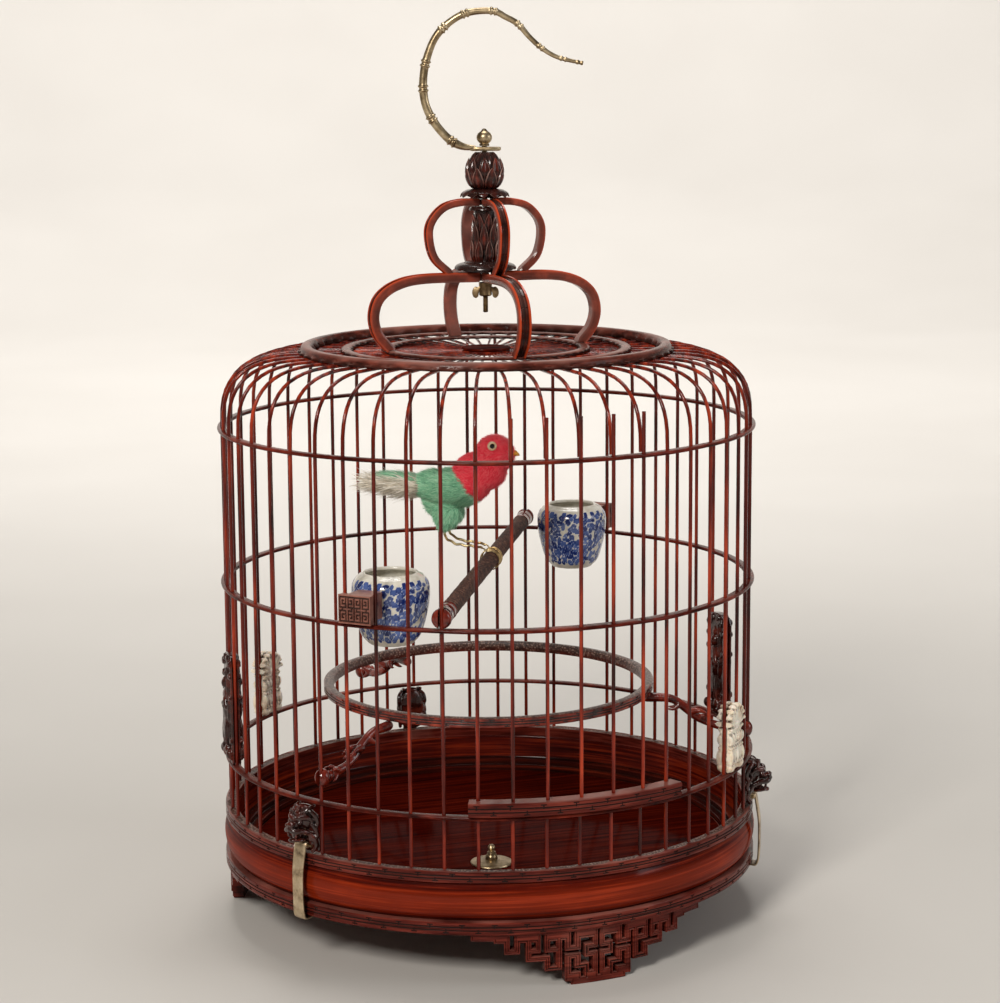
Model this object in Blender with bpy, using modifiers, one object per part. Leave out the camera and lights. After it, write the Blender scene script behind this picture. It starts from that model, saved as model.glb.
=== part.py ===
"""Round bamboo bird cage on three fretwork feet, modelled piece by piece.

Metres, +Z up. The cage's axis is the Z axis, the feet stand on Z = 0 and the sliding door faces -Y.
Angles are degrees round the axis from the door, towards +X. Each piece is one object with its own
material. A moving piece has its origin on its joint's axis.
"""
import math

import bmesh
import bpy
from mathutils import Matrix, Vector

# Clearances between neighbours, and helpers of construction
GAP = 0.0003
SLIDE_GAP = 0.00025
OVERRUN = 0.004
MERGE_DISTANCE = 0.00001
FLAT_ANGLE = 0.5
SHARP_ANGLE = 35.0

# Bars of split bamboo and the places they pass
BAR_COUNT = 52
BAR_RADIUS = 0.0009
BAR_CIRCLE = 0.1192
BAR_END_SHARE = 0.55
DOOR_BAR_OFFSET = 0.0022
DOOR_BARS_EACH_SIDE = 2
QUARTER_BARS = 13
ROOF_BEND_REACH = 0.0382
ROOF_BEND_RISE = 0.0309
ROOF_BEND_STEPS = 3
ROOF_BEND_SHARE = 0.714

# Heights of the base's pieces, from the table up
FOOT_HEIGHT = 0.0242
LOWER_RIM_HEIGHT = 0.0058
DRUM_HEIGHT = 0.0166
TOP_RIM_HEIGHT = 0.0050

# Feet of fretwork
FOOT_COUNT = 3
FOOT_TURN = 4.0
FOOT_INSET = 0.0018
FOOT_THICKNESS = 0.0050
FOOT_WIDTH_ANGLE = 53.0
FOOT_ROWS = (
    "##############",
    ".#.#...#.#...#",
    ".###.###.###.#",
    "...#.#...#.#.#",
    "...###.###.###",
    ".......#...#..",
    ".......#######",
    ".........#####",
)

# Lower rim, drum wall, top rim and floor
BASE_STEPS = 36
RIM_OVERHANG = 0.0030
RIM_WIDTH = 0.0232
RIM_EDGE = 0.0008
LEDGE_DEPTH = 0.0030
FLOOR_INSET = 0.0139
FLOOR_THICKNESS = 0.0040
DRUM_BULGE = 0.0002
DRUM_TOP_INSET = 0.0012
DRUM_FOOT_INSET = 0.0028
DRUM_WALL_INSET = 0.0002
STEP_CLEARANCE = 0.0010
STEP_WIDTH = 0.0035
STEP_HEIGHT = 0.0028
TOP_RIM_INSET = 0.0024
TOP_RIM_WIDTH = 0.0050

# Brass pull of the floor
PULL_CIRCLE = 0.0446
PULL_ANGLE = -17.6
PULL_PLATE_RADIUS = 0.0095
PULL_PLATE_HEIGHT = 0.0010
PULL_NECK_RADIUS = 0.0013
PULL_HOLE_RADIUS = 0.0018
PULL_KNOB_RADIUS = 0.0026
PULL_HEIGHT = 0.0075

# Hoops that hold the bars
HOOP_INSET = 0.0019
HOOP_WIDTH = 0.0059
HOOP_HEIGHT = 0.0020
LOWER_HOOP_RISE = 0.02275
MIDDLE_HOOP_RISE = 0.07955
UPPER_HOOP_RISE = 0.0701

# Rings on the roof, which lie across the bars
ROOF_RING_HEIGHT = 0.0052
ROOF_RING_WIDTH = 0.0050
ROOF_RING_INSET = 0.0002
ROOF_FLAT_RING_HEIGHT = 0.0013
ROOF_FLAT_RING_WIDTH = 0.0042
ROOF_MIDDLE_SHARE = 0.7797
ROOF_INNER_SHARE = 0.5507
ROOF_RING_STEPS = 26
ROOF_HUB_RADIUS = 0.0105
ROOF_DISC_RADIUS = 0.0110
ROOF_DISC_HEIGHT = 0.0011

# Sliding door
RAIL_INSET = 0.0018
RAIL_WIDTH = 0.0076
RAIL_HEIGHT = 0.0061
RAIL_HALF_ANGLE = 22.6
RAIL_STEPS = 12
DOOR_BAR_TOP = 0.0150

# Arches that carry the hook, and the small crown arches on them
ARCH_WIDTH = 0.0060
ARCH_THICKNESS = 0.0042
ARCH_OVERHANG = 0.0080
ARCH_RISE = 0.03085
ARCH_PATH_SHARES = ((0.86, 0.0), (0.965, 0.22), (1.0, 0.48), (0.95, 0.74), (0.80, 0.92), (0.56, 1.0), (0.067, 1.0))
CROWN_WIDTH = 0.0050
CROWN_THICKNESS = 0.0032
CROWN_BULGE_RADIUS = 0.0265
CROWN_RISE = 0.0310
CROWN_PATH_SHARES = ((0.65, 0.0), (0.91, 0.22), (1.0, 0.52), (0.95, 0.74), (0.74, 0.93), (0.45, 1.0), (0.12, 1.0))
ARCH_STEPS = 10

# Stack on the hook's rod
ROD_RADIUS = 0.0012
ROD_BORE = 0.0015
ROD_BELOW_ARCHES = 0.0138
PETAL_DISC_RADIUS = 0.0135
PETAL_DISC_HEIGHT = 0.0039
COLUMN_RADIUS = 0.0060
UPPER_DISC_RADIUS = 0.0105
UPPER_DISC_HEIGHT = 0.0035
BUD_RADIUS = 0.00885
BUD_HEIGHT = 0.0165
ACORN_RADIUS = 0.0035
ACORN_HEIGHT = 0.0071
ROD_IN_ACORN = 0.0056
WING_NUT_RADIUS = 0.0030
WING_NUT_HEIGHT = 0.0062
WING_SPAN = 0.0116
WING_THICKNESS = 0.0014
TURNED_STEPS = 12

# Hook: an elliptic bow with a tail, like a bamboo cane with its joints
HOOK_TURN = -18.5
TANG_LENGTH = 0.0140
TANG_WIDTH = 0.0062
TANG_THICKNESS = 0.0020
BOW_HALF_WIDTH = 0.0268
BOW_HALF_HEIGHT = 0.0295
BOW_CENTRE_X = 0.0007
BOW_START_ANGLE = 256.0
BOW_END_ANGLE = 50.0
BOW_STEPS = 14
HOOK_RADIUS = 0.0019
HOOK_TIP_SHARE = 0.45
HOOK_LIFT = 0.0012
HOOK_TAIL_SHARES = ((0.34, 0.86), (0.43, 0.77), (0.51, 0.70), (0.60, 0.665), (0.71, 0.63), (0.77, 0.635))

# Clasps: carved heads with brass straps that hook under the lower rim
CLASP_COUNT = 3
CLASP_TURN = 60.5
HEAD_WIDTH = 0.0145
HEAD_DEPTH = 0.0130
HEAD_SHARES = ((0.0, 0.0), (0.36, 0.0), (0.58, 0.10), (0.60, 0.30), (0.44, 0.40), (0.93, 0.44), (1.0, 0.62),
               (0.80, 0.74), (0.84, 0.88), (0.50, 0.94), (0.40, 1.0), (0.0, 1.0))
PIVOT_DEPTH = 0.0052
PIVOT_HEIGHT = 0.0038
EYE_RADIUS = 0.0014
TRUNNION_RADIUS = 0.0006
TRUNNION_LENGTH = 0.0022
STRAP_WIDTH = 0.0070
STRAP_THICKNESS = 0.0009
STRAP_BULGE = 0.0024
STRAP_HOOK_DEPTH = 0.0030
STRAP_STEPS = 9

# Ring perch with three vine arms
RING_PERCH_RADIUS = 0.0735
RING_PERCH_SECTION = 0.0046
RING_PERCH_RISE = 0.0182
RING_PERCH_STEPS = 30
RING_ARM_BARS = (-8, 9, 28)
ARM_BALL_RADIUS = 0.0045
ARM_BALL_RISE = 0.01065
ARM_THICKNESS = 0.0042
ARM_WIDTH = 0.0050
ARM_PATH_SHARES = ((0.0, 1.0), (0.25, 0.95), (0.42, 0.62), (0.55, 0.30), (0.72, 0.10), (1.0, 0.0))

# Straight perch across the cage
PERCH_BAR = -4
PERCH_RADIUS = 0.00375
PERCH_END_RADIUS = 0.0039
PERCH_NECK_RADIUS = 0.0028
PERCH_END_LENGTH = 0.0078
PERCH_OVERHANG = 0.0034

# Porcelain cups and their clips
CUP_INSET = 0.0267
CUP_RADIUS = 0.0168
CUP_HEIGHT = 0.0306
CUP_MOUTH_RADIUS = 0.0110
CUP_FOOT_RADIUS = 0.0085
CUP_WALL = 0.0018
CUP_DROP = 0.0126
CLIP_WIDTH = 0.0152
CLIP_HEIGHT = 0.0126
CLIP_THICKNESS = 0.0040
CLIP_NECK_WIDTH = 0.0108

# Carved plaques that grip two bars
PLAQUE_DEPTH = 0.0080
BONE_WIDTH = 0.0174
BONE_HEIGHT = 0.0310
WOOD_WIDTH = 0.0180
WOOD_HEIGHT = 0.0500
CUP_BAR = -6.5
BONE_BAR = 6.5
WOOD_BAR = 13.5

# Decoy bird on the perch
BIRD_SIDES = 10
BIRD_RINGS = 8
BIRD_ALONG_PERCH = 0.0100
BODY_LENGTH = 0.0430
BODY_RADIUS = 0.0128
BODY_BACK = -0.0143
BODY_RISE = 0.0312
BODY_PITCH = 5.0
HEAD_RADII = (0.0106, 0.0092, 0.0100)
HEAD_FORWARD = 0.0012
HEAD_RISE = 0.0480
BEAK_RADIUS = 0.0022
BEAK_LENGTH = 0.0055
BEAK_PITCH = -18.0
TAIL_LENGTH = 0.0260
TAIL_ROOT_WIDTH = 0.0100
TAIL_WIDTH = 0.0140
TAIL_THICKNESS = 0.0050
TAIL_RISE = 0.0318
THIGH_RADIUS = 0.0042
THIGH_SPREAD = 0.0060
THIGH_BACK = -0.0200
THIGH_FOOT_RISE = 0.0128
WIRE_RADIUS = 0.0007
COIL_TURNS = 1.75
COIL_POINTS = 8

# Levels and places that follow from the sizes above
PITCH = 360 / BAR_COUNT
DOOR_BAR_CIRCLE = BAR_CIRCLE + DOOR_BAR_OFFSET
RIM_OUTER_RADIUS = BAR_CIRCLE + RIM_OVERHANG
RIM_INNER_RADIUS = RIM_OUTER_RADIUS - RIM_WIDTH
FOOT_OUTER_RADIUS = RIM_OUTER_RADIUS - FOOT_INSET
FLOOR_RADIUS = RIM_OUTER_RADIUS - FLOOR_INSET - GAP
TOP_RIM_INNER_RADIUS = BAR_CIRCLE - TOP_RIM_INSET
TOP_RIM_OUTER_RADIUS = TOP_RIM_INNER_RADIUS + TOP_RIM_WIDTH
DRUM_BULGE_RADIUS = RIM_OUTER_RADIUS + DRUM_BULGE
DRUM_TOP_RADIUS = TOP_RIM_OUTER_RADIUS - DRUM_TOP_INSET
DRUM_FOOT_RADIUS = RIM_OUTER_RADIUS - DRUM_FOOT_INSET
DRUM_WALL_RADIUS = TOP_RIM_INNER_RADIUS + DRUM_WALL_INSET
STEP_RADIUS = FLOOR_RADIUS + STEP_CLEARANCE
HOOP_INNER_RADIUS = BAR_CIRCLE - HOOP_INSET
HOOP_OUTER_RADIUS = HOOP_INNER_RADIUS + HOOP_WIDTH
RAIL_INNER_RADIUS = BAR_CIRCLE - RAIL_INSET
RAIL_OUTER_RADIUS = RAIL_INNER_RADIUS + RAIL_WIDTH
ROOF_OUTER_RING = BAR_CIRCLE - ROOF_BEND_REACH - ROOF_RING_INSET
ROOF_MIDDLE_RING = ROOF_OUTER_RING * ROOF_MIDDLE_SHARE
ROOF_INNER_RING = ROOF_OUTER_RING * ROOF_INNER_SHARE
ARCH_BULGE_RADIUS = ROOF_INNER_RING + ARCH_OVERHANG
CUP_CIRCLE = BAR_CIRCLE - CUP_INSET
LOWER_RIM_Z = FOOT_HEIGHT
DRUM_Z = LOWER_RIM_Z + LOWER_RIM_HEIGHT + GAP
TOP_RIM_Z = DRUM_Z + DRUM_HEIGHT
RIM_TOP_Z = TOP_RIM_Z + TOP_RIM_HEIGHT
FLOOR_Z = LOWER_RIM_Z + LOWER_RIM_HEIGHT - LEDGE_DEPTH + GAP
BAR_FOOT_Z = RIM_TOP_Z + GAP
LOWER_HOOP_Z = BAR_FOOT_Z + LOWER_HOOP_RISE
MIDDLE_HOOP_Z = LOWER_HOOP_Z + MIDDLE_HOOP_RISE
UPPER_HOOP_Z = MIDDLE_HOOP_Z + UPPER_HOOP_RISE
BEND_Z = UPPER_HOOP_Z + HOOP_HEIGHT / 2 + GAP
ROOF_Z = BEND_Z + ROOF_BEND_RISE
ROOF_TOP_Z = ROOF_Z + BAR_RADIUS + GAP
RAIL_Z = LOWER_HOOP_Z + HOOP_HEIGHT / 2 + GAP
ARCH_FOOT_Z = ROOF_TOP_Z + ROOF_FLAT_RING_HEIGHT + GAP
ARCH_TOP_Z = ARCH_FOOT_Z + ARCH_RISE + ARCH_THICKNESS / 2
PETAL_DISC_Z = ARCH_TOP_Z + GAP
CROWN_FOOT_Z = ARCH_TOP_Z + GAP
CROWN_TOP_Z = CROWN_FOOT_Z + CROWN_RISE + CROWN_THICKNESS / 2
COLUMN_Z = PETAL_DISC_Z + PETAL_DISC_HEIGHT + GAP
COLUMN_TOP_Z = CROWN_TOP_Z - CROWN_THICKNESS - GAP
UPPER_DISC_Z = CROWN_TOP_Z + GAP
BUD_Z = UPPER_DISC_Z + UPPER_DISC_HEIGHT + GAP
TANG_Z = BUD_Z + BUD_HEIGHT + GAP
ACORN_Z = TANG_Z + TANG_THICKNESS + GAP
WING_NUT_Z = ARCH_TOP_Z - ARCH_THICKNESS - GAP - WING_NUT_HEIGHT
ARM_BALL_Z = LOWER_HOOP_Z + ARM_BALL_RISE
RING_PERCH_Z = ARM_BALL_Z + RING_PERCH_RISE
CUP_BASE_Z = MIDDLE_HOOP_Z - CUP_DROP
PERCH_Z = MIDDLE_HOOP_Z + HOOP_HEIGHT / 2 + GAP + PERCH_END_RADIUS
SLOT_WIDTH = 2 * (BAR_RADIUS + SLIDE_GAP)
CLASP_ANGLES = tuple(CLASP_TURN + (k - 1) * 360 / CLASP_COUNT for k in range(CLASP_COUNT))
FOOT_ANGLES = tuple(FOOT_TURN + (k - 1) * 360 / FOOT_COUNT for k in range(FOOT_COUNT))
DOOR_BARS = tuple(range(-DOOR_BARS_EACH_SIDE, DOOR_BARS_EACH_SIDE + 1))


def bar_angle(index):
    """Angle of a bar, counted from the door's middle."""
    return index * PITCH


def near_clasp(index):
    """Whether a clasp's head stands where this bar's foot would be."""
    half_head = math.degrees(HEAD_WIDTH / 2 / BAR_CIRCLE) + math.degrees((BAR_RADIUS + GAP) / BAR_CIRCLE)
    return any(abs((bar_angle(index) - angle + 180) % 360 - 180) < half_head for angle in CLASP_ANGLES)


def spot(radius, angle, height):
    """Point at a radius and an angle round the cage's axis."""
    turn = math.radians(angle)
    return Vector((radius * math.sin(turn), -radius * math.cos(turn), height))


def facing(angle, radius=0.0, height=0.0):
    """Matrix whose +X points outwards at an angle, +Y runs along the circle and +Z is up."""
    return Matrix.Translation(spot(radius, angle, height)) @ Matrix.Rotation(math.radians(angle - 90), 4, "Z")


def smooth(points, steps):
    """Points along a smooth curve through the given ones."""
    ends = [2 * points[0] - points[1]] + list(points) + [2 * points[-1] - points[-2]]
    result = []
    spans = len(points) - 1
    for step in range(steps + 1):
        at = min(step * spans / steps, spans - MERGE_DISTANCE)
        k = int(at)
        t = at - k
        a, b, c, d = ends[k:k + 4]
        curve = 2 * b + (c - a) * t + (2 * a - 5 * b + 4 * c - d) * t ** 2 + (3 * b - a - 3 * c + d) * t ** 3
        result.append(curve / 2)
    return result


# Scene set-up
for old in list(bpy.data.objects):
    bpy.data.objects.remove(old)

PARTS = bpy.data.collections.new("bamboo_bird_cage")
CUTTERS = bpy.data.collections.new("cutters")
bpy.context.scene.collection.children.link(PARTS)
bpy.context.scene.collection.children.link(CUTTERS)


def finish(name, colour, roughness, metallic=0.0):
    """Plain Principled material."""
    material = bpy.data.materials.new(name)
    material.use_nodes = True
    shader = material.node_tree.nodes["Principled BSDF"]
    shader.inputs["Base Color"].default_value = (*colour, 1.0)
    shader.inputs["Roughness"].default_value = roughness
    shader.inputs["Metallic"].default_value = metallic
    material.diffuse_color = (*colour, 1.0)
    return material


BAMBOO = (0.26, 0.035, 0.018)
RED_WOOD = (0.22, 0.022, 0.012)
CARVED_WOOD = (0.16, 0.035, 0.022)
DARK_WOOD = (0.045, 0.014, 0.010)
BRASS = (0.60, 0.45, 0.22)
PORCELAIN = (0.80, 0.80, 0.76)
BONE = (0.80, 0.70, 0.54)
GREEN_FEATHERS = (0.12, 0.30, 0.16)
RED_FEATHERS = (0.65, 0.02, 0.03)
CREAM_FEATHERS = (0.55, 0.50, 0.38)


def place(mesh, name, colour, roughness, metallic=0.0):
    """Object for one piece, with its own material, in the cage's collection."""
    thing = bpy.data.objects.new(name, mesh)
    mesh.materials.clear()
    mesh.materials.append(finish(name, colour, roughness, metallic))
    PARTS.objects.link(thing)
    return thing


def mesh_of(curve_object):
    """Mesh of a curve object with its caps welded; the curve goes."""
    graph = bpy.context.evaluated_depsgraph_get()
    mesh = bpy.data.meshes.new_from_object(curve_object.evaluated_get(graph))
    work = bmesh.new()
    work.from_mesh(mesh)
    bmesh.ops.remove_doubles(work, verts=work.verts, dist=MERGE_DISTANCE)
    bmesh.ops.recalc_face_normals(work, faces=work.faces)
    work.to_mesh(mesh)
    work.free()
    curve = curve_object.data
    bpy.data.objects.remove(curve_object)
    bpy.data.curves.remove(curve)
    return mesh


def tubes(name, routes, radius, resolution=1, shares=None):
    """Mesh of round tubes along routes; shares of the radius are counted back from each route's end."""
    curve = bpy.data.curves.new(name, "CURVE")
    curve.dimensions = "3D"
    curve.bevel_depth = radius
    curve.bevel_resolution = resolution
    curve.render_resolution_u = 0
    curve.use_fill_caps = True
    for route in routes:
        spline = curve.splines.new("POLY")
        spline.points.add(len(route) - 1)
        for k, point in enumerate(route):
            spline.points[k].co = (*point, 1.0)
            spline.points[k].radius = shares[k - len(route)] if shares else 1.0
    helper = bpy.data.objects.new(name, curve)
    CUTTERS.objects.link(helper)
    return mesh_of(helper)


def plate(name, outline, thickness, matrix=Matrix.Identity(4)):
    """Mesh of a flat outline in X and Y, thick along Z, moved by a matrix."""
    curve = bpy.data.curves.new(name, "CURVE")
    curve.dimensions = "2D"
    curve.fill_mode = "BOTH"
    curve.extrude = thickness / 2
    curve.render_resolution_u = 0
    spline = curve.splines.new("POLY")
    spline.points.add(len(outline) - 1)
    for k, point in enumerate(outline):
        spline.points[k].co = (point[0], point[1], 0.0, 1.0)
    spline.use_cyclic_u = True
    helper = bpy.data.objects.new(name, curve)
    CUTTERS.objects.link(helper)
    mesh = mesh_of(helper)
    mesh.transform(matrix)
    return mesh


def upright(angle):
    """Matrix that stands a flat outline up in the radial plane at an angle: X outwards, Y up."""
    return Matrix.Rotation(math.radians(angle - 90), 4, "Z") @ Matrix.Rotation(math.radians(90), 4, "X")


def boxes(name, items):
    """Mesh of boxes, each given by its size and its matrix."""
    mesh = bpy.data.meshes.new(name)
    work = bmesh.new()
    for size, matrix in items:
        bmesh.ops.create_cube(work, size=1.0, matrix=matrix @ Matrix.Diagonal((*size, 1.0)))
    work.to_mesh(mesh)
    work.free()
    return mesh


def rod_mesh(name, radius, depth, sides, matrix):
    """Mesh of a cylinder along the matrix's Z."""
    mesh = bpy.data.meshes.new(name)
    work = bmesh.new()
    bmesh.ops.create_cone(work, cap_ends=True, segments=sides, radius1=radius, radius2=radius, depth=depth,
                          matrix=matrix)
    work.to_mesh(mesh)
    work.free()
    return mesh


def ball_mesh(name, radii, sides, rings, matrix):
    """Mesh of an ellipsoid."""
    mesh = bpy.data.meshes.new(name)
    work = bmesh.new()
    bmesh.ops.create_uvsphere(work, u_segments=sides, v_segments=rings, radius=1.0,
                              matrix=matrix @ Matrix.Diagonal((*radii, 1.0)))
    work.to_mesh(mesh)
    work.free()
    return mesh


def swept(name, section, start, end, steps):
    """Mesh of a section in radius and height, swept round the axis between two angles."""
    mesh = bpy.data.meshes.new(name)
    work = bmesh.new()
    corners = [work.verts.new(spot(radius, start, height)) for radius, height in section]
    face = work.faces.new(corners)
    bmesh.ops.spin(work, geom=[face, *face.verts, *face.edges], axis=(0, 0, 1), cent=(0, 0, 0),
                   angle=math.radians(end - start), steps=steps)
    bmesh.ops.recalc_face_normals(work, faces=work.faces)
    work.to_mesh(mesh)
    work.free()
    return mesh


def combine(target, mesh, operation, name="tool"):
    """Boolean of a placed piece with a mesh, kept as a modifier on the piece."""
    tool = bpy.data.objects.new(name, mesh)
    tool.hide_render = True
    tool.display_type = "WIRE"
    CUTTERS.objects.link(tool)
    tool.matrix_world = target.matrix_world
    change = target.modifiers.new(name, "BOOLEAN")
    change.operation = operation
    change.solver = "EXACT"
    change.object = tool
    return tool


def turned(name, profile, steps, colour, roughness, metallic=0.0, closed=False):
    """Piece turned about its own Z; the profile runs down the outer side."""
    mesh = bpy.data.meshes.new(name)
    count = len(profile)
    edges = [(k, (k + 1) % count) for k in range(count if closed else count - 1)]
    mesh.from_pydata([(radius, 0.0, height) for radius, height in profile], edges, [])
    thing = place(mesh, name, colour, roughness, metallic)
    turn = thing.modifiers.new("turn", "SCREW")
    turn.axis = "Z"
    turn.steps = steps
    turn.render_steps = steps
    turn.use_merge_vertices = True
    turn.merge_threshold = MERGE_DISTANCE
    turn.use_smooth_shade = False
    return thing


def at_origin(thing, origin):
    """Moves a piece's origin to a point, and leaves the piece where it is."""
    thing.data.transform(Matrix.Translation(-origin))
    thing.location = origin


# Base: feet, lower rim, drum wall, top rim
def make_foot(name, angle):
    """Stepped fretwork apron that follows the rim's curve: a grid with openings, wrapped and thickened."""
    columns = 2 * len(FOOT_ROWS[0]) - 1
    rows = len(FOOT_ROWS)
    pattern = [row + row[-2::-1] for row in FOOT_ROWS]
    work = bmesh.new()
    bmesh.ops.create_grid(work, x_segments=columns, y_segments=rows, size=0.5)
    empty = []
    for face in work.faces:
        centre = face.calc_center_median()
        column = int((centre.x + 0.5) * columns)
        row = int((0.5 - centre.y) * rows)
        if pattern[row][column] == ".":
            empty.append(face)
    bmesh.ops.delete(work, geom=empty, context="FACES")
    for vert in work.verts:
        turn = vert.co.x * FOOT_WIDTH_ANGLE
        height = (vert.co.y + 0.5) * (FOOT_HEIGHT - GAP)
        vert.co = spot(FOOT_OUTER_RADIUS, turn, height)
    bmesh.ops.dissolve_limit(work, angle_limit=math.radians(FLAT_ANGLE), verts=work.verts, edges=work.edges)
    bmesh.ops.recalc_face_normals(work, faces=work.faces)
    work.faces.ensure_lookup_table()
    if work.faces[0].normal.dot(work.faces[0].calc_center_median()) < 0:
        bmesh.ops.reverse_faces(work, faces=work.faces)
    mesh = bpy.data.meshes.new(name)
    work.to_mesh(mesh)
    work.free()
    foot = place(mesh, name, CARVED_WOOD, 0.32)
    thick = foot.modifiers.new("thickness", "SOLIDIFY")
    thick.thickness = FOOT_THICKNESS
    thick.offset = -1.0
    foot.rotation_euler.z = math.radians(angle)


def make_base():
    """Pieces below the bars."""
    for name, angle in zip(("foot_left", "foot_front", "foot_right"), FOOT_ANGLES):
        make_foot(name, angle)
    top = LOWER_RIM_Z + LOWER_RIM_HEIGHT
    ledge = top - LEDGE_DEPTH
    seat = FLOOR_RADIUS + GAP
    turned("lower_rim", [
        (RIM_OUTER_RADIUS - RIM_EDGE, top), (RIM_OUTER_RADIUS, top - RIM_EDGE),
        (RIM_OUTER_RADIUS, LOWER_RIM_Z + RIM_EDGE), (RIM_OUTER_RADIUS - RIM_EDGE, LOWER_RIM_Z),
        (RIM_INNER_RADIUS, LOWER_RIM_Z), (RIM_INNER_RADIUS, ledge), (seat, ledge), (seat, top),
    ], BASE_STEPS, CARVED_WOOD, 0.34, closed=True)
    wall_top = DRUM_Z + DRUM_HEIGHT - GAP
    step = DRUM_Z + STEP_HEIGHT
    turned("drum", [
        (DRUM_TOP_RADIUS, wall_top),
        ((DRUM_TOP_RADIUS + 3 * DRUM_BULGE_RADIUS) / 4, DRUM_Z + DRUM_HEIGHT * 3 / 4),
        (DRUM_BULGE_RADIUS, DRUM_Z + DRUM_HEIGHT / 2),
        ((DRUM_FOOT_RADIUS + 3 * DRUM_BULGE_RADIUS) / 4, DRUM_Z + DRUM_HEIGHT / 4),
        (DRUM_FOOT_RADIUS, DRUM_Z),
        (STEP_RADIUS, DRUM_Z), (STEP_RADIUS, step),
        (STEP_RADIUS + STEP_WIDTH, step), (STEP_RADIUS + STEP_WIDTH, step + STEP_HEIGHT),
        (DRUM_WALL_RADIUS, step + STEP_HEIGHT), (DRUM_WALL_RADIUS, wall_top),
    ], BASE_STEPS, RED_WOOD, 0.18, closed=True)
    turned("top_rim", [
        (TOP_RIM_OUTER_RADIUS, RIM_TOP_Z), (TOP_RIM_OUTER_RADIUS, TOP_RIM_Z),
        (TOP_RIM_INNER_RADIUS, TOP_RIM_Z), (TOP_RIM_INNER_RADIUS, RIM_TOP_Z),
    ], BASE_STEPS, CARVED_WOOD, 0.3, closed=True)


def make_floor():
    """Loose floor board, with the brass pull whose stud passes through it."""
    top = FLOOR_Z + FLOOR_THICKNESS
    board = turned("floor_board", [(0.0, top), (FLOOR_RADIUS, top), (FLOOR_RADIUS, FLOOR_Z), (0.0, FLOOR_Z)],
                   BASE_STEPS, RED_WOOD, 0.3)
    centre = spot(PULL_CIRCLE, PULL_ANGLE, FLOOR_Z + FLOOR_THICKNESS / 2)
    hole = rod_mesh("pull_hole", PULL_HOLE_RADIUS, FLOOR_THICKNESS + OVERRUN, 8, Matrix.Translation(centre))
    combine(board, hole, "DIFFERENCE", "pull_hole")
    plate_z = top + GAP
    neck = plate_z + PULL_PLATE_HEIGHT
    crown = neck + PULL_HEIGHT
    pull = turned("floor_pull", [
        (0.0, crown), (PULL_KNOB_RADIUS * 0.7, crown - PULL_KNOB_RADIUS * 0.3),
        (PULL_KNOB_RADIUS, crown - PULL_KNOB_RADIUS), (PULL_KNOB_RADIUS * 0.7, crown - PULL_KNOB_RADIUS * 1.7),
        (PULL_NECK_RADIUS, crown - PULL_KNOB_RADIUS * 2), (PULL_NECK_RADIUS, neck),
        (PULL_PLATE_RADIUS, neck), (PULL_PLATE_RADIUS, plate_z), (PULL_HOLE_RADIUS - GAP, plate_z),
        (PULL_HOLE_RADIUS - GAP, FLOOR_Z), (0.0, FLOOR_Z),
    ], TURNED_STEPS, BRASS, 0.35, 1.0)
    pull.location = spot(PULL_CIRCLE, PULL_ANGLE, 0.0)


# Bars, hoops and roof
def bar_route(index):
    """Centre line of one bar, from its foot over the bend to the roof's hub."""
    angle = bar_angle(index)
    if near_clasp(index):
        foot = LOWER_HOOP_Z - HOOP_HEIGHT / 2
    else:
        foot = BAR_FOOT_Z
    route = [] if index in DOOR_BARS else [spot(BAR_CIRCLE, angle, foot)]
    for step in range(ROOF_BEND_STEPS + 1):
        bend = math.radians(90) * step / ROOF_BEND_STEPS
        radius = BAR_CIRCLE - ROOF_BEND_REACH * (1 - math.cos(bend) ** ROOF_BEND_SHARE)
        route.append(spot(radius, angle, BEND_Z + ROOF_BEND_RISE * math.sin(bend) ** ROOF_BEND_SHARE))
    route.append(spot(ROOF_HUB_RADIUS - BAR_RADIUS, angle, ROOF_Z))
    return route


def make_bars(name, middle):
    """Thirteen bars of one quarter, joined where they meet on the roof's hub."""
    half = QUARTER_BARS // 2
    routes = [bar_route(middle + k) for k in range(-half, half + 1)]
    shares = [1.0] * (max(map(len, routes)) - 1) + [BAR_END_SHARE]
    bars = place(tubes(name, routes, BAR_RADIUS, 1, shares), name, BAMBOO, 0.22)
    turn = bar_angle(middle)
    side = QUARTER_BARS * PITCH / 2
    inner = GAP / math.sin(math.radians(side))
    trim = math.degrees(GAP / ROOF_HUB_RADIUS)
    arc = [turn - side + trim + k * (2 * side - 2 * trim) / QUARTER_BARS for k in range(QUARTER_BARS + 1)]
    outline = [spot(inner, turn, 0.0)] + [spot(ROOF_HUB_RADIUS, angle, 0.0) for angle in arc]
    hub = plate("hub", outline, 2 * BAR_RADIUS, Matrix.Translation((0.0, 0.0, ROOF_Z)))
    combine(bars, hub, "UNION", "hub")


def bar_holes(name, circle, indices, z, depth):
    """Square holes round a hoop for the bars."""
    size = (SLOT_WIDTH, SLOT_WIDTH, depth)
    return boxes(name, [(size, facing(bar_angle(k), circle, z)) for k in indices])


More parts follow.
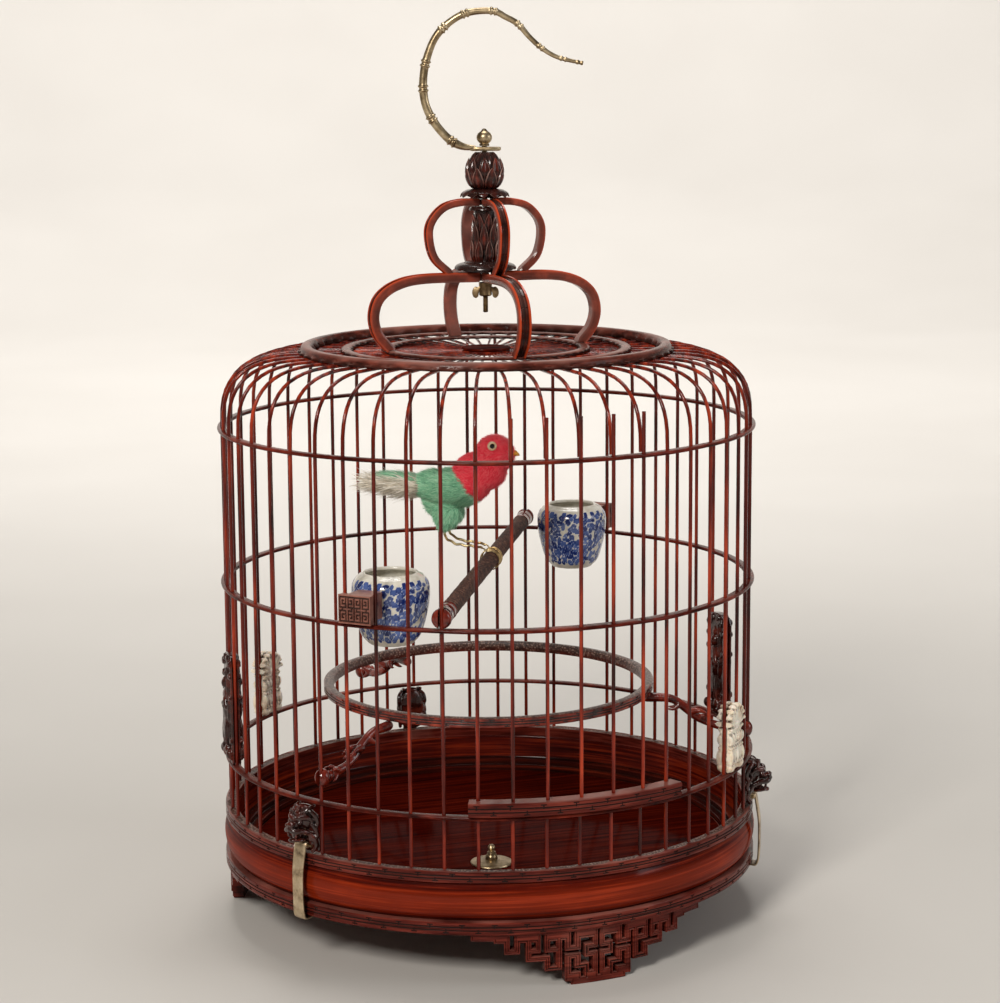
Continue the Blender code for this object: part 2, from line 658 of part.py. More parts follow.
def make_hoop(name, z, fixed, sliding):
    """Hoop with a hole for each fixed bar and each of the door's bars."""
    top = z + HOOP_HEIGHT / 2
    bottom = z - HOOP_HEIGHT / 2
    hoop = turned(name, [(HOOP_OUTER_RADIUS, top), (HOOP_OUTER_RADIUS, bottom),
                         (HOOP_INNER_RADIUS, bottom), (HOOP_INNER_RADIUS, top)],
                  BAR_COUNT, CARVED_WOOD, 0.25, closed=True)
    half_turn = Matrix.Rotation(math.radians(PITCH / 2), 4, "Z")
    hoop.data.transform(half_turn)
    depth = HOOP_HEIGHT + OVERRUN
    combine(hoop, bar_holes("bar_holes", BAR_CIRCLE, fixed, z, depth), "DIFFERENCE", "bar_holes")
    if sliding:
        combine(hoop, bar_holes("door_holes", DOOR_BAR_CIRCLE, sliding, z, depth), "DIFFERENCE", "door_holes")
    return hoop


def make_cage():
    """Bars, hoops and the rings of the roof."""
    for name, middle in (("bars_front", 0), ("bars_right", 1), ("bars_back", 2), ("bars_left", 3)):
        make_bars(name, middle * QUARTER_BARS)
    everywhere = [k for k in range(-BAR_COUNT // 2, BAR_COUNT // 2)]
    beside_door = [k for k in everywhere if k not in DOOR_BARS]
    lower = make_hoop("lower_hoop", LOWER_HOOP_Z, beside_door, ())
    stub_routes = []
    for k in DOOR_BARS:
        angle = bar_angle(k)
        stub_routes.append([spot(BAR_CIRCLE, angle, BAR_FOOT_Z), spot(BAR_CIRCLE, angle, LOWER_HOOP_Z)])
    combine(lower, tubes("stubs", stub_routes, BAR_RADIUS), "UNION", "stubs")
    make_hoop("middle_hoop", MIDDLE_HOOP_Z, beside_door, DOOR_BARS)
    make_hoop("upper_hoop", UPPER_HOOP_Z, beside_door, DOOR_BARS)
    half = ROOF_RING_WIDTH / 2
    base = ROOF_Z - BAR_RADIUS
    outer = turned("roof_ring_outer", [
        (ROOF_OUTER_RING + half, base + ROOF_RING_HEIGHT), (ROOF_OUTER_RING + half, base),
        (ROOF_OUTER_RING - half, base), (ROOF_OUTER_RING - half, base + ROOF_RING_HEIGHT),
    ], BAR_COUNT, CARVED_WOOD, 0.28, closed=True)
    outer.data.transform(Matrix.Rotation(math.radians(PITCH / 2), 4, "Z"))
    notch = (ROOF_RING_WIDTH + OVERRUN, SLOT_WIDTH, SLOT_WIDTH + OVERRUN)
    notch_z = ROOF_Z + SLOT_WIDTH / 2 - notch[2] / 2
    notches = boxes("notches", [(notch, facing(bar_angle(k), ROOF_OUTER_RING, notch_z)) for k in everywhere])
    combine(outer, notches, "DIFFERENCE", "notches")
    half = ROOF_FLAT_RING_WIDTH / 2
    for name, radius in (("roof_ring_middle", ROOF_MIDDLE_RING), ("roof_ring_inner", ROOF_INNER_RING)):
        turned(name, [(radius + half, ROOF_TOP_Z + ROOF_FLAT_RING_HEIGHT), (radius + half, ROOF_TOP_Z),
                      (radius - half, ROOF_TOP_Z), (radius - half, ROOF_TOP_Z + ROOF_FLAT_RING_HEIGHT)],
               ROOF_RING_STEPS, CARVED_WOOD, 0.28, closed=True)
    turned("roof_disc", [(0.0, ROOF_TOP_Z + ROOF_DISC_HEIGHT), (ROOF_DISC_RADIUS, ROOF_TOP_Z + ROOF_DISC_HEIGHT),
                         (ROOF_DISC_RADIUS, ROOF_TOP_Z), (0.0, ROOF_TOP_Z)], TURNED_STEPS, RED_WOOD, 0.25)


def make_door():
    """Carved rail with five bars, which slides up on the two bars beside the opening."""
    top = RAIL_Z + RAIL_HEIGHT
    section = [(RAIL_OUTER_RADIUS, top), (RAIL_OUTER_RADIUS, RAIL_Z), (RAIL_INNER_RADIUS, RAIL_Z),
               (RAIL_INNER_RADIUS, top)]
    rail = swept("door", section, -RAIL_HALF_ANGLE, RAIL_HALF_ANGLE, RAIL_STEPS)
    door = place(rail, "door", CARVED_WOOD, 0.25)
    guides = (-DOOR_BARS_EACH_SIDE - 1, DOOR_BARS_EACH_SIDE + 1)
    holes = bar_holes("guide_holes", BAR_CIRCLE, guides, RAIL_Z + RAIL_HEIGHT / 2, RAIL_HEIGHT + OVERRUN)
    combine(door, holes, "DIFFERENCE", "guide_holes")
    routes = []
    for k in DOOR_BARS:
        angle = bar_angle(k)
        foot = spot(DOOR_BAR_CIRCLE, angle, RAIL_Z + RAIL_HEIGHT / 2)
        routes.append([foot, spot(DOOR_BAR_CIRCLE, angle, UPPER_HOOP_Z + DOOR_BAR_TOP)])
    combine(door, tubes("door_bars", routes, BAR_RADIUS), "UNION", "door_bars")


# Arches, stack on the rod, and the hook
def bent_strip(name, shares, reach, rise, foot_z, width, thickness, angle, colour):
    """Strip of wood bent in the radial plane along a path given in shares."""
    corners = [Vector((radius * reach, foot_z + height * rise)) for radius, height in shares]
    path = smooth(corners, ARCH_STEPS)
    outer = []
    inner = []
    for k, point in enumerate(path):
        before = path[max(k - 1, 0)]
        after = path[min(k + 1, len(path) - 1)]
        along = (after - before).normalized()
        if k == 0:
            along = Vector((0.0, 1.0))
        if k == len(path) - 1:
            along = Vector((-1.0, 0.0))
        across = Vector((along.y, -along.x)) * thickness / 2
        outer.append(point + across)
        inner.append(point - across)
    mesh = plate(name, outer + inner[::-1], width, upright(angle))
    return place(mesh, name, colour, 0.25)


def make_arches():
    """Four arches on the roof's inner ring and four crown arches on them."""
    sides = (("front", 0), ("right", 90), ("back", 180), ("left", 270))
    for side, angle in sides:
        bent_strip(f"arch_{side}", ARCH_PATH_SHARES, ARCH_BULGE_RADIUS, ARCH_RISE, ARCH_FOOT_Z, ARCH_WIDTH,
                   ARCH_THICKNESS, angle, CARVED_WOOD)
        bent_strip(f"crown_arch_{side}", CROWN_PATH_SHARES, CROWN_BULGE_RADIUS, CROWN_RISE, CROWN_FOOT_Z,
                   CROWN_WIDTH, CROWN_THICKNESS, angle, CARVED_WOOD)


def bored(name, profile, colour, roughness, metallic=0.0):
    """Turned piece with the rod's bore, closed down its middle."""
    top = profile[0][1]
    bottom = profile[-1][1]
    loop = [(ROD_BORE, top)] + profile + [(ROD_BORE, bottom)]
    return turned(name, loop, TURNED_STEPS, colour, roughness, metallic, closed=True)


def make_stack():
    """Turned pieces on the rod, from the wing nut up to the acorn nut."""
    low = ARCH_TOP_Z - ARCH_THICKNESS - ROD_BELOW_ARCHES
    high = ACORN_Z + ROD_IN_ACORN
    turned("rod", [(0.0, high), (ROD_RADIUS, high), (ROD_RADIUS, low), (0.0, low)], 8, BRASS, 0.35, 1.0)
    top = PETAL_DISC_Z + PETAL_DISC_HEIGHT
    bored("petal_disc_lower", [
        (PETAL_DISC_RADIUS * 0.72, top), (PETAL_DISC_RADIUS, PETAL_DISC_Z + PETAL_DISC_HEIGHT / 2),
        (PETAL_DISC_RADIUS * 0.8, PETAL_DISC_Z)], CARVED_WOOD, 0.25)
    height = COLUMN_TOP_Z - COLUMN_Z
    bored("lotus_column", [
        (COLUMN_RADIUS * 0.75, COLUMN_TOP_Z), (COLUMN_RADIUS, COLUMN_Z + height * 0.85),
        (COLUMN_RADIUS * 0.7, COLUMN_Z + height * 0.55), (COLUMN_RADIUS * 0.7, COLUMN_Z + height * 0.45),
        (COLUMN_RADIUS, COLUMN_Z + height * 0.15), (COLUMN_RADIUS * 0.75, COLUMN_Z)], CARVED_WOOD, 0.25)
    top = UPPER_DISC_Z + UPPER_DISC_HEIGHT
    bored("petal_disc_upper", [
        (UPPER_DISC_RADIUS * 0.6, top), (UPPER_DISC_RADIUS * 0.7, top - UPPER_DISC_HEIGHT * 0.3),
        (UPPER_DISC_RADIUS, UPPER_DISC_Z + UPPER_DISC_HEIGHT * 0.4), (UPPER_DISC_RADIUS * 0.85, UPPER_DISC_Z)],
        CARVED_WOOD, 0.25)
    bored("lotus_bud", [
        (BUD_RADIUS * 0.42, BUD_Z + BUD_HEIGHT), (BUD_RADIUS * 0.78, BUD_Z + BUD_HEIGHT * 0.8),
        (BUD_RADIUS, BUD_Z + BUD_HEIGHT * 0.5), (BUD_RADIUS * 0.88, BUD_Z + BUD_HEIGHT * 0.22),
        (BUD_RADIUS * 0.5, BUD_Z)], CARVED_WOOD, 0.25)
    crown = ACORN_Z + ACORN_HEIGHT
    blind = high + GAP
    turned("acorn_nut", [
        (0.0, crown), (ACORN_RADIUS * 0.6, crown - ACORN_RADIUS * 0.15), (ACORN_RADIUS, crown - ACORN_RADIUS),
        (ACORN_RADIUS, ACORN_Z), (ROD_BORE, ACORN_Z), (ROD_BORE, blind), (0.0, blind)],
        TURNED_STEPS, BRASS, 0.3, 1.0)
    nut_top = WING_NUT_Z + WING_NUT_HEIGHT
    nut = bored("wing_nut", [(WING_NUT_RADIUS, nut_top), (WING_NUT_RADIUS, WING_NUT_Z)], BRASS, 0.4, 1.0)
    wing = (WING_SPAN / 2 - ROD_BORE - GAP, WING_THICKNESS, WING_NUT_HEIGHT * 0.8)
    reach = ROD_BORE + GAP + wing[0] / 2
    middle = WING_NUT_Z + WING_NUT_HEIGHT / 2
    wings = boxes("wings", [(wing, Matrix.Translation((reach * side, 0.0, middle))) for side in (-1, 1)])
    combine(nut, wings, "UNION", "wings")


def make_hook():
    """Bowed hook on a flat tang, which turns on the rod."""
    mesh = boxes("hook", [((TANG_LENGTH, TANG_WIDTH, TANG_THICKNESS), Matrix.Identity(4))])
    hook = place(mesh, "hook", BRASS, 0.4, 1.0)
    foot = TANG_THICKNESS / 2
    route = []
    for step in range(BOW_STEPS + 1):
        turn = math.radians(BOW_START_ANGLE + (BOW_END_ANGLE - BOW_START_ANGLE) * step / BOW_STEPS)
        x = BOW_CENTRE_X + BOW_HALF_WIDTH * math.cos(turn)
        route.append(Vector((x, 0.0, HOOK_LIFT + BOW_HALF_HEIGHT * (1 + math.sin(turn)))))
    height = 2 * BOW_HALF_HEIGHT
    route += [Vector((x * height, 0.0, HOOK_LIFT + z * height)) for x, z in HOOK_TAIL_SHARES]
    last = len(route) - 1
    shares = [1 - (1 - HOOK_TIP_SHARE) * (k / last) ** 1.5 for k in range(last + 1)]
    hole = rod_mesh("tang_hole", ROD_BORE, TANG_THICKNESS + OVERRUN, 8, Matrix.Identity(4))
    hook.location.z = TANG_Z + foot
    hook.rotation_euler.z = math.radians(HOOK_TURN)
    bpy.context.view_layer.update()
    combine(hook, tubes("bow", [route], HOOK_RADIUS, 2, shares), "UNION", "bow")
    combine(hook, hole, "DIFFERENCE", "tang_hole")


# Clasps
def make_clasp(side, angle):
    """Carved head between the lower hoop and the rim, and the strap hinged in its chin."""
    foot = BAR_FOOT_Z
    height = LOWER_HOOP_Z - HOOP_HEIGHT / 2 - GAP - foot
    inner = HOOP_INNER_RADIUS
    outline = [(inner + depth * HEAD_DEPTH, foot + rise * height) for depth, rise in HEAD_SHARES]
    head = place(plate("head", outline, HEAD_WIDTH, upright(angle)), f"clasp_head_{side}", CARVED_WOOD, 0.22)
    pivot = inner + PIVOT_DEPTH
    pivot_z = foot + PIVOT_HEIGHT
    slot_inner = pivot - EYE_RADIUS - GAP
    slot_top = pivot_z + EYE_RADIUS + GAP
    slot = (HEAD_DEPTH + OVERRUN, STRAP_WIDTH + 2 * GAP, slot_top - foot + OVERRUN)
    slot_place = facing(angle, slot_inner + slot[0] / 2, slot_top - slot[2] / 2)
    combine(head, boxes("strap_slot", [(slot, slot_place)]), "DIFFERENCE", "strap_slot")
    tangent = facing(angle, pivot, pivot_z) @ Matrix.Rotation(math.radians(90), 4, "X")
    bore_length = STRAP_WIDTH + 2 * TRUNNION_LENGTH + 2 * GAP
    bore = rod_mesh("trunnion_bore", TRUNNION_RADIUS + SLIDE_GAP, bore_length, 8, tangent)
    combine(head, bore, "DIFFERENCE", "trunnion_bore")
    face = RIM_OUTER_RADIUS + GAP + STRAP_THICKNESS / 2
    hook_z = LOWER_RIM_Z - GAP - STRAP_THICKNESS / 2
    path = smooth([
        Vector((pivot, pivot_z)), Vector((face + STRAP_BULGE / 2, RIM_TOP_Z)),
        Vector((face + STRAP_BULGE, DRUM_Z + DRUM_HEIGHT / 2)),
        Vector((face + STRAP_BULGE, LOWER_RIM_Z + LOWER_RIM_HEIGHT / 2)),
        Vector((face + STRAP_BULGE / 3, hook_z)), Vector((face - STRAP_HOOK_DEPTH, hook_z))], STRAP_STEPS)
    left = []
    right = []
    for k, point in enumerate(path):
        along = (path[min(k + 1, len(path) - 1)] - path[max(k - 1, 0)]).normalized()
        if k == len(path) - 1:
            along = Vector((-1.0, 0.0))
        across = Vector((along.y, -along.x)) * STRAP_THICKNESS / 2
        left.append(point + across)
        right.append(point - across)
    strap = place(plate("strap", left + right[::-1], STRAP_WIDTH, upright(angle)), f"clasp_strap_{side}",
                  BRASS, 0.38, 1.0)
    eye = rod_mesh("eye", EYE_RADIUS, STRAP_WIDTH, 8, tangent)
    pin = rod_mesh("pin", TRUNNION_RADIUS, STRAP_WIDTH + 2 * TRUNNION_LENGTH, 8, tangent)
    at_origin(strap, spot(pivot, angle, pivot_z))
    for piece in (eye, pin):
        piece.transform(Matrix.Translation(-strap.location))
    bpy.context.view_layer.update()
    combine(strap, eye, "UNION", "eye")
    combine(strap, pin, "UNION", "pin")


# Inside the cage
def make_ring_perch():
    """Ring perch and its three vine arms, whose slotted balls straddle bars."""
    half = RING_PERCH_SECTION / 2
    turned("ring_perch", [
        (RING_PERCH_RADIUS + half, RING_PERCH_Z + half), (RING_PERCH_RADIUS + half, RING_PERCH_Z - half),
        (RING_PERCH_RADIUS - half, RING_PERCH_Z - half), (RING_PERCH_RADIUS - half, RING_PERCH_Z + half)],
        RING_PERCH_STEPS, CARVED_WOOD, 0.4, closed=True)
    top = RING_PERCH_Z - half - GAP - ARM_THICKNESS / 2
    reach = BAR_CIRCLE - RING_PERCH_RADIUS - ARM_BALL_RADIUS / 2
    drop = top - ARM_BALL_Z
    for name, index in zip(("ring_arm_left", "ring_arm_right", "ring_arm_back"), RING_ARM_BARS):
        angle = bar_angle(index)
        shares = [(out * reach + RING_PERCH_RADIUS, ARM_BALL_Z + rise * drop) for out, rise in ARM_PATH_SHARES]
        path = smooth([Vector(pair) for pair in shares], ARCH_STEPS)
        upper = []
        lower = []
        for k, point in enumerate(path):
            along = (path[min(k + 1, len(path) - 1)] - path[max(k - 1, 0)]).normalized()
            if k == 0:
                along = Vector((1.0, 0.0))
            across = Vector((-along.y, along.x)) * ARM_THICKNESS / 2
            upper.append(point + across)
            lower.append(point - across)
        arm = place(plate(name, lower + upper[::-1], ARM_WIDTH, upright(angle)), name, RED_WOOD, 0.25)
        ball = ball_mesh("ball", (ARM_BALL_RADIUS,) * 3, 8, 6, facing(angle, BAR_CIRCLE - BAR_RADIUS, ARM_BALL_Z))
        combine(arm, ball, "UNION", "ball")
        slot = (2 * ARM_BALL_RADIUS, SLOT_WIDTH, 2 * ARM_BALL_RADIUS + OVERRUN)
        inner = BAR_CIRCLE - BAR_RADIUS - SLIDE_GAP
        cut = boxes("bar_slot", [(slot, facing(angle, inner + slot[0] / 2, ARM_BALL_Z))])
        combine(arm, cut, "DIFFERENCE", "bar_slot")


def make_perch():
    """Straight perch with turned ends, slotted over two opposite bars."""
    reach = BAR_CIRCLE + PERCH_OVERHANG
    shoulder = reach - PERCH_END_LENGTH
    waist = shoulder + PERCH_END_LENGTH / 5
    half = [(0.0, reach), (PERCH_END_RADIUS * 0.75, reach - PERCH_END_LENGTH / 12),
            (PERCH_END_RADIUS, reach - PERCH_END_LENGTH / 3), (PERCH_NECK_RADIUS, waist),
            (PERCH_RADIUS, shoulder)]
    profile = half + [(radius, -length) for radius, length in reversed(half)]
    perch = turned("perch", profile, 12, DARK_WOOD, 0.8)
    perch.rotation_euler = (math.radians(90), 0.0, math.radians(bar_angle(PERCH_BAR)))
    perch.location.z = PERCH_Z
    bpy.context.view_layer.update()
    slot = (SLOT_WIDTH, 2 * PERCH_END_RADIUS + OVERRUN, 2 * PERCH_OVERHANG + OVERRUN)
    inner = BAR_CIRCLE - BAR_RADIUS - SLIDE_GAP
    places = [Matrix.Translation((0.0, 0.0, side * (inner + slot[2] / 2))) for side in (-1, 1)]
    combine(perch, boxes("bar_slots", [(slot, matrix) for matrix in places]), "DIFFERENCE", "bar_slots")


def make_cup(side, angle):
    """Porcelain jar just inside the bars, and the carved clip that holds it to them."""
    top = CUP_BASE_Z + CUP_HEIGHT
    inner_base = CUP_BASE_Z + CUP_WALL
    wall = CUP_RADIUS - CUP_WALL
    cup = turned(f"cup_{side}", [
        (CUP_MOUTH_RADIUS, top), (CUP_RADIUS * 0.88, top - CUP_HEIGHT * 0.15),
        (CUP_RADIUS, CUP_BASE_Z + CUP_HEIGHT * 0.62), (CUP_RADIUS, CUP_BASE_Z + CUP_HEIGHT * 0.42),
        (CUP_RADIUS * 0.82, CUP_BASE_Z + CUP_HEIGHT * 0.14), (CUP_FOOT_RADIUS, CUP_BASE_Z), (0.0, CUP_BASE_Z)],
        TURNED_STEPS, PORCELAIN, 0.1)
    inside = [(0.0, inner_base), (CUP_FOOT_RADIUS - CUP_WALL, inner_base),
              (CUP_RADIUS * 0.82 - CUP_WALL, CUP_BASE_Z + CUP_HEIGHT * 0.18),
              (wall, CUP_BASE_Z + CUP_HEIGHT * 0.45), (wall, CUP_BASE_Z + CUP_HEIGHT * 0.6),
              (CUP_RADIUS * 0.88 - CUP_WALL, top - CUP_HEIGHT * 0.17), (CUP_MOUTH_RADIUS - CUP_WALL, top)]
    data = cup.data
    old = [tuple(vert.co) for vert in data.vertices]
    points = [(radius, 0.0, height) for radius, height in inside] + old
    data.clear_geometry()
    data.from_pydata(points, [(k, k + 1) for k in range(len(points) - 1)], [])
    cup.location = spot(CUP_CIRCLE, angle, 0.0)
    clip_z = MIDDLE_HOOP_Z + HOOP_HEIGHT / 2 + GAP + CLIP_HEIGHT / 2
    face_inner = BAR_CIRCLE + BAR_RADIUS + GAP
    face = (CLIP_THICKNESS, CLIP_WIDTH, CLIP_HEIGHT)
    clip = place(boxes("clip", [(face, facing(angle, face_inner + CLIP_THICKNESS / 2, clip_z))]),
                 f"cup_clip_{side}", CARVED_WOOD, 0.35)
    neck_inner = CUP_CIRCLE + CUP_RADIUS + GAP
    neck_length = face_inner + CLIP_THICKNESS / 2 - neck_inner
    neck = (neck_length, CLIP_NECK_WIDTH, CLIP_HEIGHT * 0.9)
    matrix = facing(angle, neck_inner + neck_length / 2, clip_z)
    combine(clip, boxes("neck", [(neck, matrix)]), "UNION", "neck")


def make_plaque(name, angle, width, height, colour, roughness):
    """Carved plaque between two bars, with a groove for each bar in its sides."""
    z = LOWER_HOOP_Z + HOOP_HEIGHT / 2 + GAP + height / 2
    block = boxes(name, [((PLAQUE_DEPTH, width, height), facing(angle, BAR_CIRCLE, z))])
    plaque = place(block, name, colour, roughness)
    groove = (SLOT_WIDTH, SLOT_WIDTH + width, height + OVERRUN)
    for side in (-1, 1):
        bar = Matrix.Translation(spot(BAR_CIRCLE, angle + side * PITCH / 2, z))
        outwards = Matrix.Translation((0.0, side * (groove[1] - SLOT_WIDTH) / 2, 0.0))
        combine(plaque, boxes("groove", [(groove, bar @ facing(angle) @ outwards)]), "DIFFERENCE",
                f"groove_{side + 1}")


# Decoy bird
def make_bird():
    """Bird of dyed feathers, wired to the perch; its own X points forwards from the perch's middle line."""
    turn = bar_angle(PERCH_BAR)
    home = spot(BIRD_ALONG_PERCH, turn + 180, PERCH_Z)
    frame = Matrix.Translation(home) @ Matrix.Rotation(math.radians(turn), 4, "Z")
    pitched = Matrix.Rotation(math.radians(-BODY_PITCH), 4, "Y")
    body_place = frame @ Matrix.Translation((BODY_BACK, 0.0, BODY_RISE)) @ pitched
    radii = (BODY_LENGTH / 2, BODY_RADIUS, BODY_RADIUS)
    grown = tuple(radius + GAP for radius in radii)
    body_ball = ball_mesh("bird_body", radii, BIRD_SIDES, BIRD_RINGS, body_place)
    body = place(body_ball, "bird_body", GREEN_FEATHERS, 0.9)
    length = BODY_RISE - THIGH_FOOT_RISE
    for side in (-1, 1):
        middle = Matrix.Translation((THIGH_BACK, side * THIGH_SPREAD, BODY_RISE - length / 2))
        combine(body, rod_mesh("thigh", THIGH_RADIUS, length, 8, frame @ middle), "UNION", f"thigh_{side + 1}")
    head_place = frame @ Matrix.Translation((HEAD_FORWARD, 0.0, HEAD_RISE))
    head_ball = ball_mesh("bird_head", HEAD_RADII, BIRD_SIDES, BIRD_RINGS, head_place)
    head = place(head_ball, "bird_head", RED_FEATHERS, 0.9)
    beak_tilt = Matrix.Rotation(math.radians(90 - BEAK_PITCH), 4, "Y")
    beak_place = Matrix.Translation((HEAD_RADII[0] * 0.85, 0.0, 0.0)) @ beak_tilt
    beak = bpy.data.meshes.new("beak")
    work = bmesh.new()
    bmesh.ops.create_cone(work, cap_ends=True, segments=8, radius1=BEAK_RADIUS, radius2=BEAK_RADIUS / 4,
                          depth=BEAK_LENGTH, matrix=head_place @ beak_place)
    work.to_mesh(beak)
    work.free()
    combine(head, beak, "UNION", "beak")
    combine(head, ball_mesh("body_copy", grown, BIRD_SIDES, BIRD_RINGS, body_place), "DIFFERENCE", "body_copy")
    root = BODY_BACK - BODY_LENGTH / 2
    overlap = BODY_LENGTH / 6
    outline = [(root + overlap, TAIL_ROOT_WIDTH / 2), (root - TAIL_LENGTH, TAIL_WIDTH / 2),
               (root - TAIL_LENGTH, -TAIL_WIDTH / 2), (root + overlap, -TAIL_ROOT_WIDTH / 2)]
    tail_place = frame @ Matrix.Translation((0.0, 0.0, TAIL_RISE))
    tail = place(plate("tail", outline, TAIL_THICKNESS, tail_place), "bird_tail", CREAM_FEATHERS, 0.9)
    combine(tail, ball_mesh("rump_copy", grown, BIRD_SIDES, BIRD_RINGS, body_place), "DIFFERENCE", "rump_copy")
    make_legs(frame)


def make_legs(frame):
    """One wire: down from a thigh, round the perch and up to the other thigh."""
    coil = PERCH_RADIUS + GAP + WIRE_RADIUS
    hip = THIGH_FOOT_RISE - GAP
    leg = [Vector((THIGH_BACK, THIGH_SPREAD, hip)), Vector((THIGH_BACK * 0.95, THIGH_SPREAD, hip * 0.8)),
           Vector((THIGH_BACK * 0.65, THIGH_SPREAD * 0.85, hip * 0.55)),
           Vector((THIGH_BACK * 0.28, THIGH_SPREAD * 0.72, hip * 0.38))]
    width = THIGH_SPREAD * 0.62
    coils = []
    count = int(COIL_TURNS * COIL_POINTS)
    for k in range(count + 1):
        turn = math.radians(360) * k / COIL_POINTS
        coils.append(Vector((coil * math.sin(turn), width * (1 - 2 * k / count), coil * math.cos(turn))))
    back = [Vector((point.x * 1.15, -point.y, point.z)) for point in reversed(leg[1:])]
    back.append(Vector((THIGH_BACK, -THIGH_SPREAD, hip)))
    route = [frame @ point for point in leg + coils + back]
    place(tubes("bird_legs", [route], WIRE_RADIUS), "bird_legs", BRASS, 0.4, 1.0)


def round_off():
    """Makes each piece's modifiers real, then shades its round faces smooth and keeps its edges sharp."""
    bpy.context.view_layer.update()
    graph = bpy.context.evaluated_depsgraph_get()
    meshes = [(piece, bpy.data.meshes.new_from_object(piece.evaluated_get(graph))) for piece in PARTS.objects]
    for piece, mesh in meshes:
        mesh.shade_smooth()
        mesh.set_sharp_from_angle(angle=math.radians(SHARP_ANGLE))
        piece.modifiers.clear()
        piece.data = mesh


def build():
    """Whole cage."""
    make_base()
    make_floor()
    make_cage()
    make_door()
    make_arches()
    make_stack()
    make_hook()
    for side, angle in zip(("left", "right", "back"), CLASP_ANGLES):
        make_clasp(side, angle)
    make_ring_perch()
    make_perch()
    make_cup("front", bar_angle(CUP_BAR))
    make_cup("back", bar_angle(CUP_BAR) + 180)
    make_plaque("bone_plaque_right", bar_angle(BONE_BAR), BONE_WIDTH, BONE_HEIGHT, BONE, 0.45)
    make_plaque("bone_plaque_left", bar_angle(BONE_BAR) + 180, BONE_WIDTH, BONE_HEIGHT, BONE, 0.45)
    make_plaque("wood_plaque_right", bar_angle(WOOD_BAR), WOOD_WIDTH, WOOD_HEIGHT, DARK_WOOD, 0.3)
    make_plaque("wood_plaque_left", -bar_angle(WOOD_BAR), WOOD_WIDTH, WOOD_HEIGHT, DARK_WOOD, 0.3)
    make_bird()
    round_off()


build()
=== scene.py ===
"""Looks of the round bamboo bird cage: carving, lacquer, brass, porcelain, bone and the decoy bird.

Lengths are in millimetres until a mesh is made, in metres from there on. The cage's axis is Z, upwards, and
the sliding door is towards -Y. Angles are degrees round the axis from the door, towards +X. Colours are in
thousandths.
"""
import math
import random

import bmesh
import bpy
from mathutils import Matrix, Vector, noise
from mathutils.bvhtree import BVHTree


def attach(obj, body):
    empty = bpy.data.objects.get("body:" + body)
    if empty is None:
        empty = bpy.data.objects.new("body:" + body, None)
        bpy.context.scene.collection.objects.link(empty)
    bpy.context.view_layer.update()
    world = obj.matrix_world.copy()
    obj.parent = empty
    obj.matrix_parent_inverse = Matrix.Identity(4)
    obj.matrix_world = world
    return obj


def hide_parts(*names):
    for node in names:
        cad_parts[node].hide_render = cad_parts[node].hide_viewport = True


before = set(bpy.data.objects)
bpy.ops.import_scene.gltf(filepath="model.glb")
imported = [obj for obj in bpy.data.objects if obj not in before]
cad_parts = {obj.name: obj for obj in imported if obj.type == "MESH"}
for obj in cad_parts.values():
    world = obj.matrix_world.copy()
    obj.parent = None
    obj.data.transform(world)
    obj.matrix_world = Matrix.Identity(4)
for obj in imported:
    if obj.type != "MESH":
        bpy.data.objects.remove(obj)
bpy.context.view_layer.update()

MM = 0.001

# Bars and the levels they pass
BARS = 52
PITCH = 360 / BARS
BAR_CIRCLE = 119.2
BAR_RADIUS = 0.84
DOOR_CIRCLE = 121.4
BAR_FOOT = 52.2
SHORT_FOOT = 74.0
BEND_Z = 225.9
BEND_REACH = 38.2
BEND_RISE = 30.9
ROOF_Z = 256.8
HUB_RADIUS = 10.5
DOOR_BARS = (-2, -1, 0, 1, 2)

# Base
FOOT_TOP = 23.9
RIM_RADIUS = 122.2
RIM_Z = 24.2
RIM_HEIGHT = 5.8
FLOOR_RADIUS = 108.0
FLOOR_TOP = 31.3
DRUM_Z = 30.3
DRUM_TOP = 46.6
TOP_RIM_Z = 46.9
TOP_RIM_HEIGHT = 5.0
TOP_RIM_INNER = 116.8
TOP_RIM_OUTER = 121.8

# Hoops, door and roof
HOOPS = {"lower_hoop": 74.95, "middle_hoop": 154.5, "upper_hoop": 224.6}
HOOP_INNER = 117.3
HOOP_OUTER = 123.0
HOOP_HEIGHT = 1.5
RAIL_Z = 76.25
RAIL_HEIGHT = 6.1
RAIL_INNER = 117.4
RAIL_OUTER = 125.0
ROOF_TOP = 258.0

# Carved key pattern: width and depth of a cut line, and the slope of its walls
CUT_WIDTH = 0.52
CUT_DEPTH = 0.42
CUT_SLOPE = 0.07

# The camera's turn from the door, which the hook and the floor's grain share
PHOTO_TURN = -18.5


def spot(radius, angle, height=0.0):
    """Point at a radius and an angle round the cage's axis."""
    turn = math.radians(angle)
    return Vector((radius * math.sin(turn), -radius * math.cos(turn), height))


def moved(x, y, z):
    """Matrix of a move in mm."""
    return Matrix.Translation((x, y, z))


def rotated(degrees, axis="Z"):
    """Matrix of a turn about an axis."""
    return Matrix.Rotation(math.radians(degrees), 4, axis)


def facing(angle, radius=0.0, height=0.0):
    """Matrix whose +X points outwards at an angle, +Y runs along the circle and +Z is up."""
    return Matrix.Translation(spot(radius, angle, height)) @ rotated(angle - 90)


def ease(value):
    """Value between 0 and 1, eased at both ends."""
    value = min(max(value, 0.0), 1.0)
    return value * value * (3 - 2 * value)


def bell(distance, width):
    """Value that is 1 at no distance and falls off smoothly."""
    return math.exp(-(distance / width) ** 2)


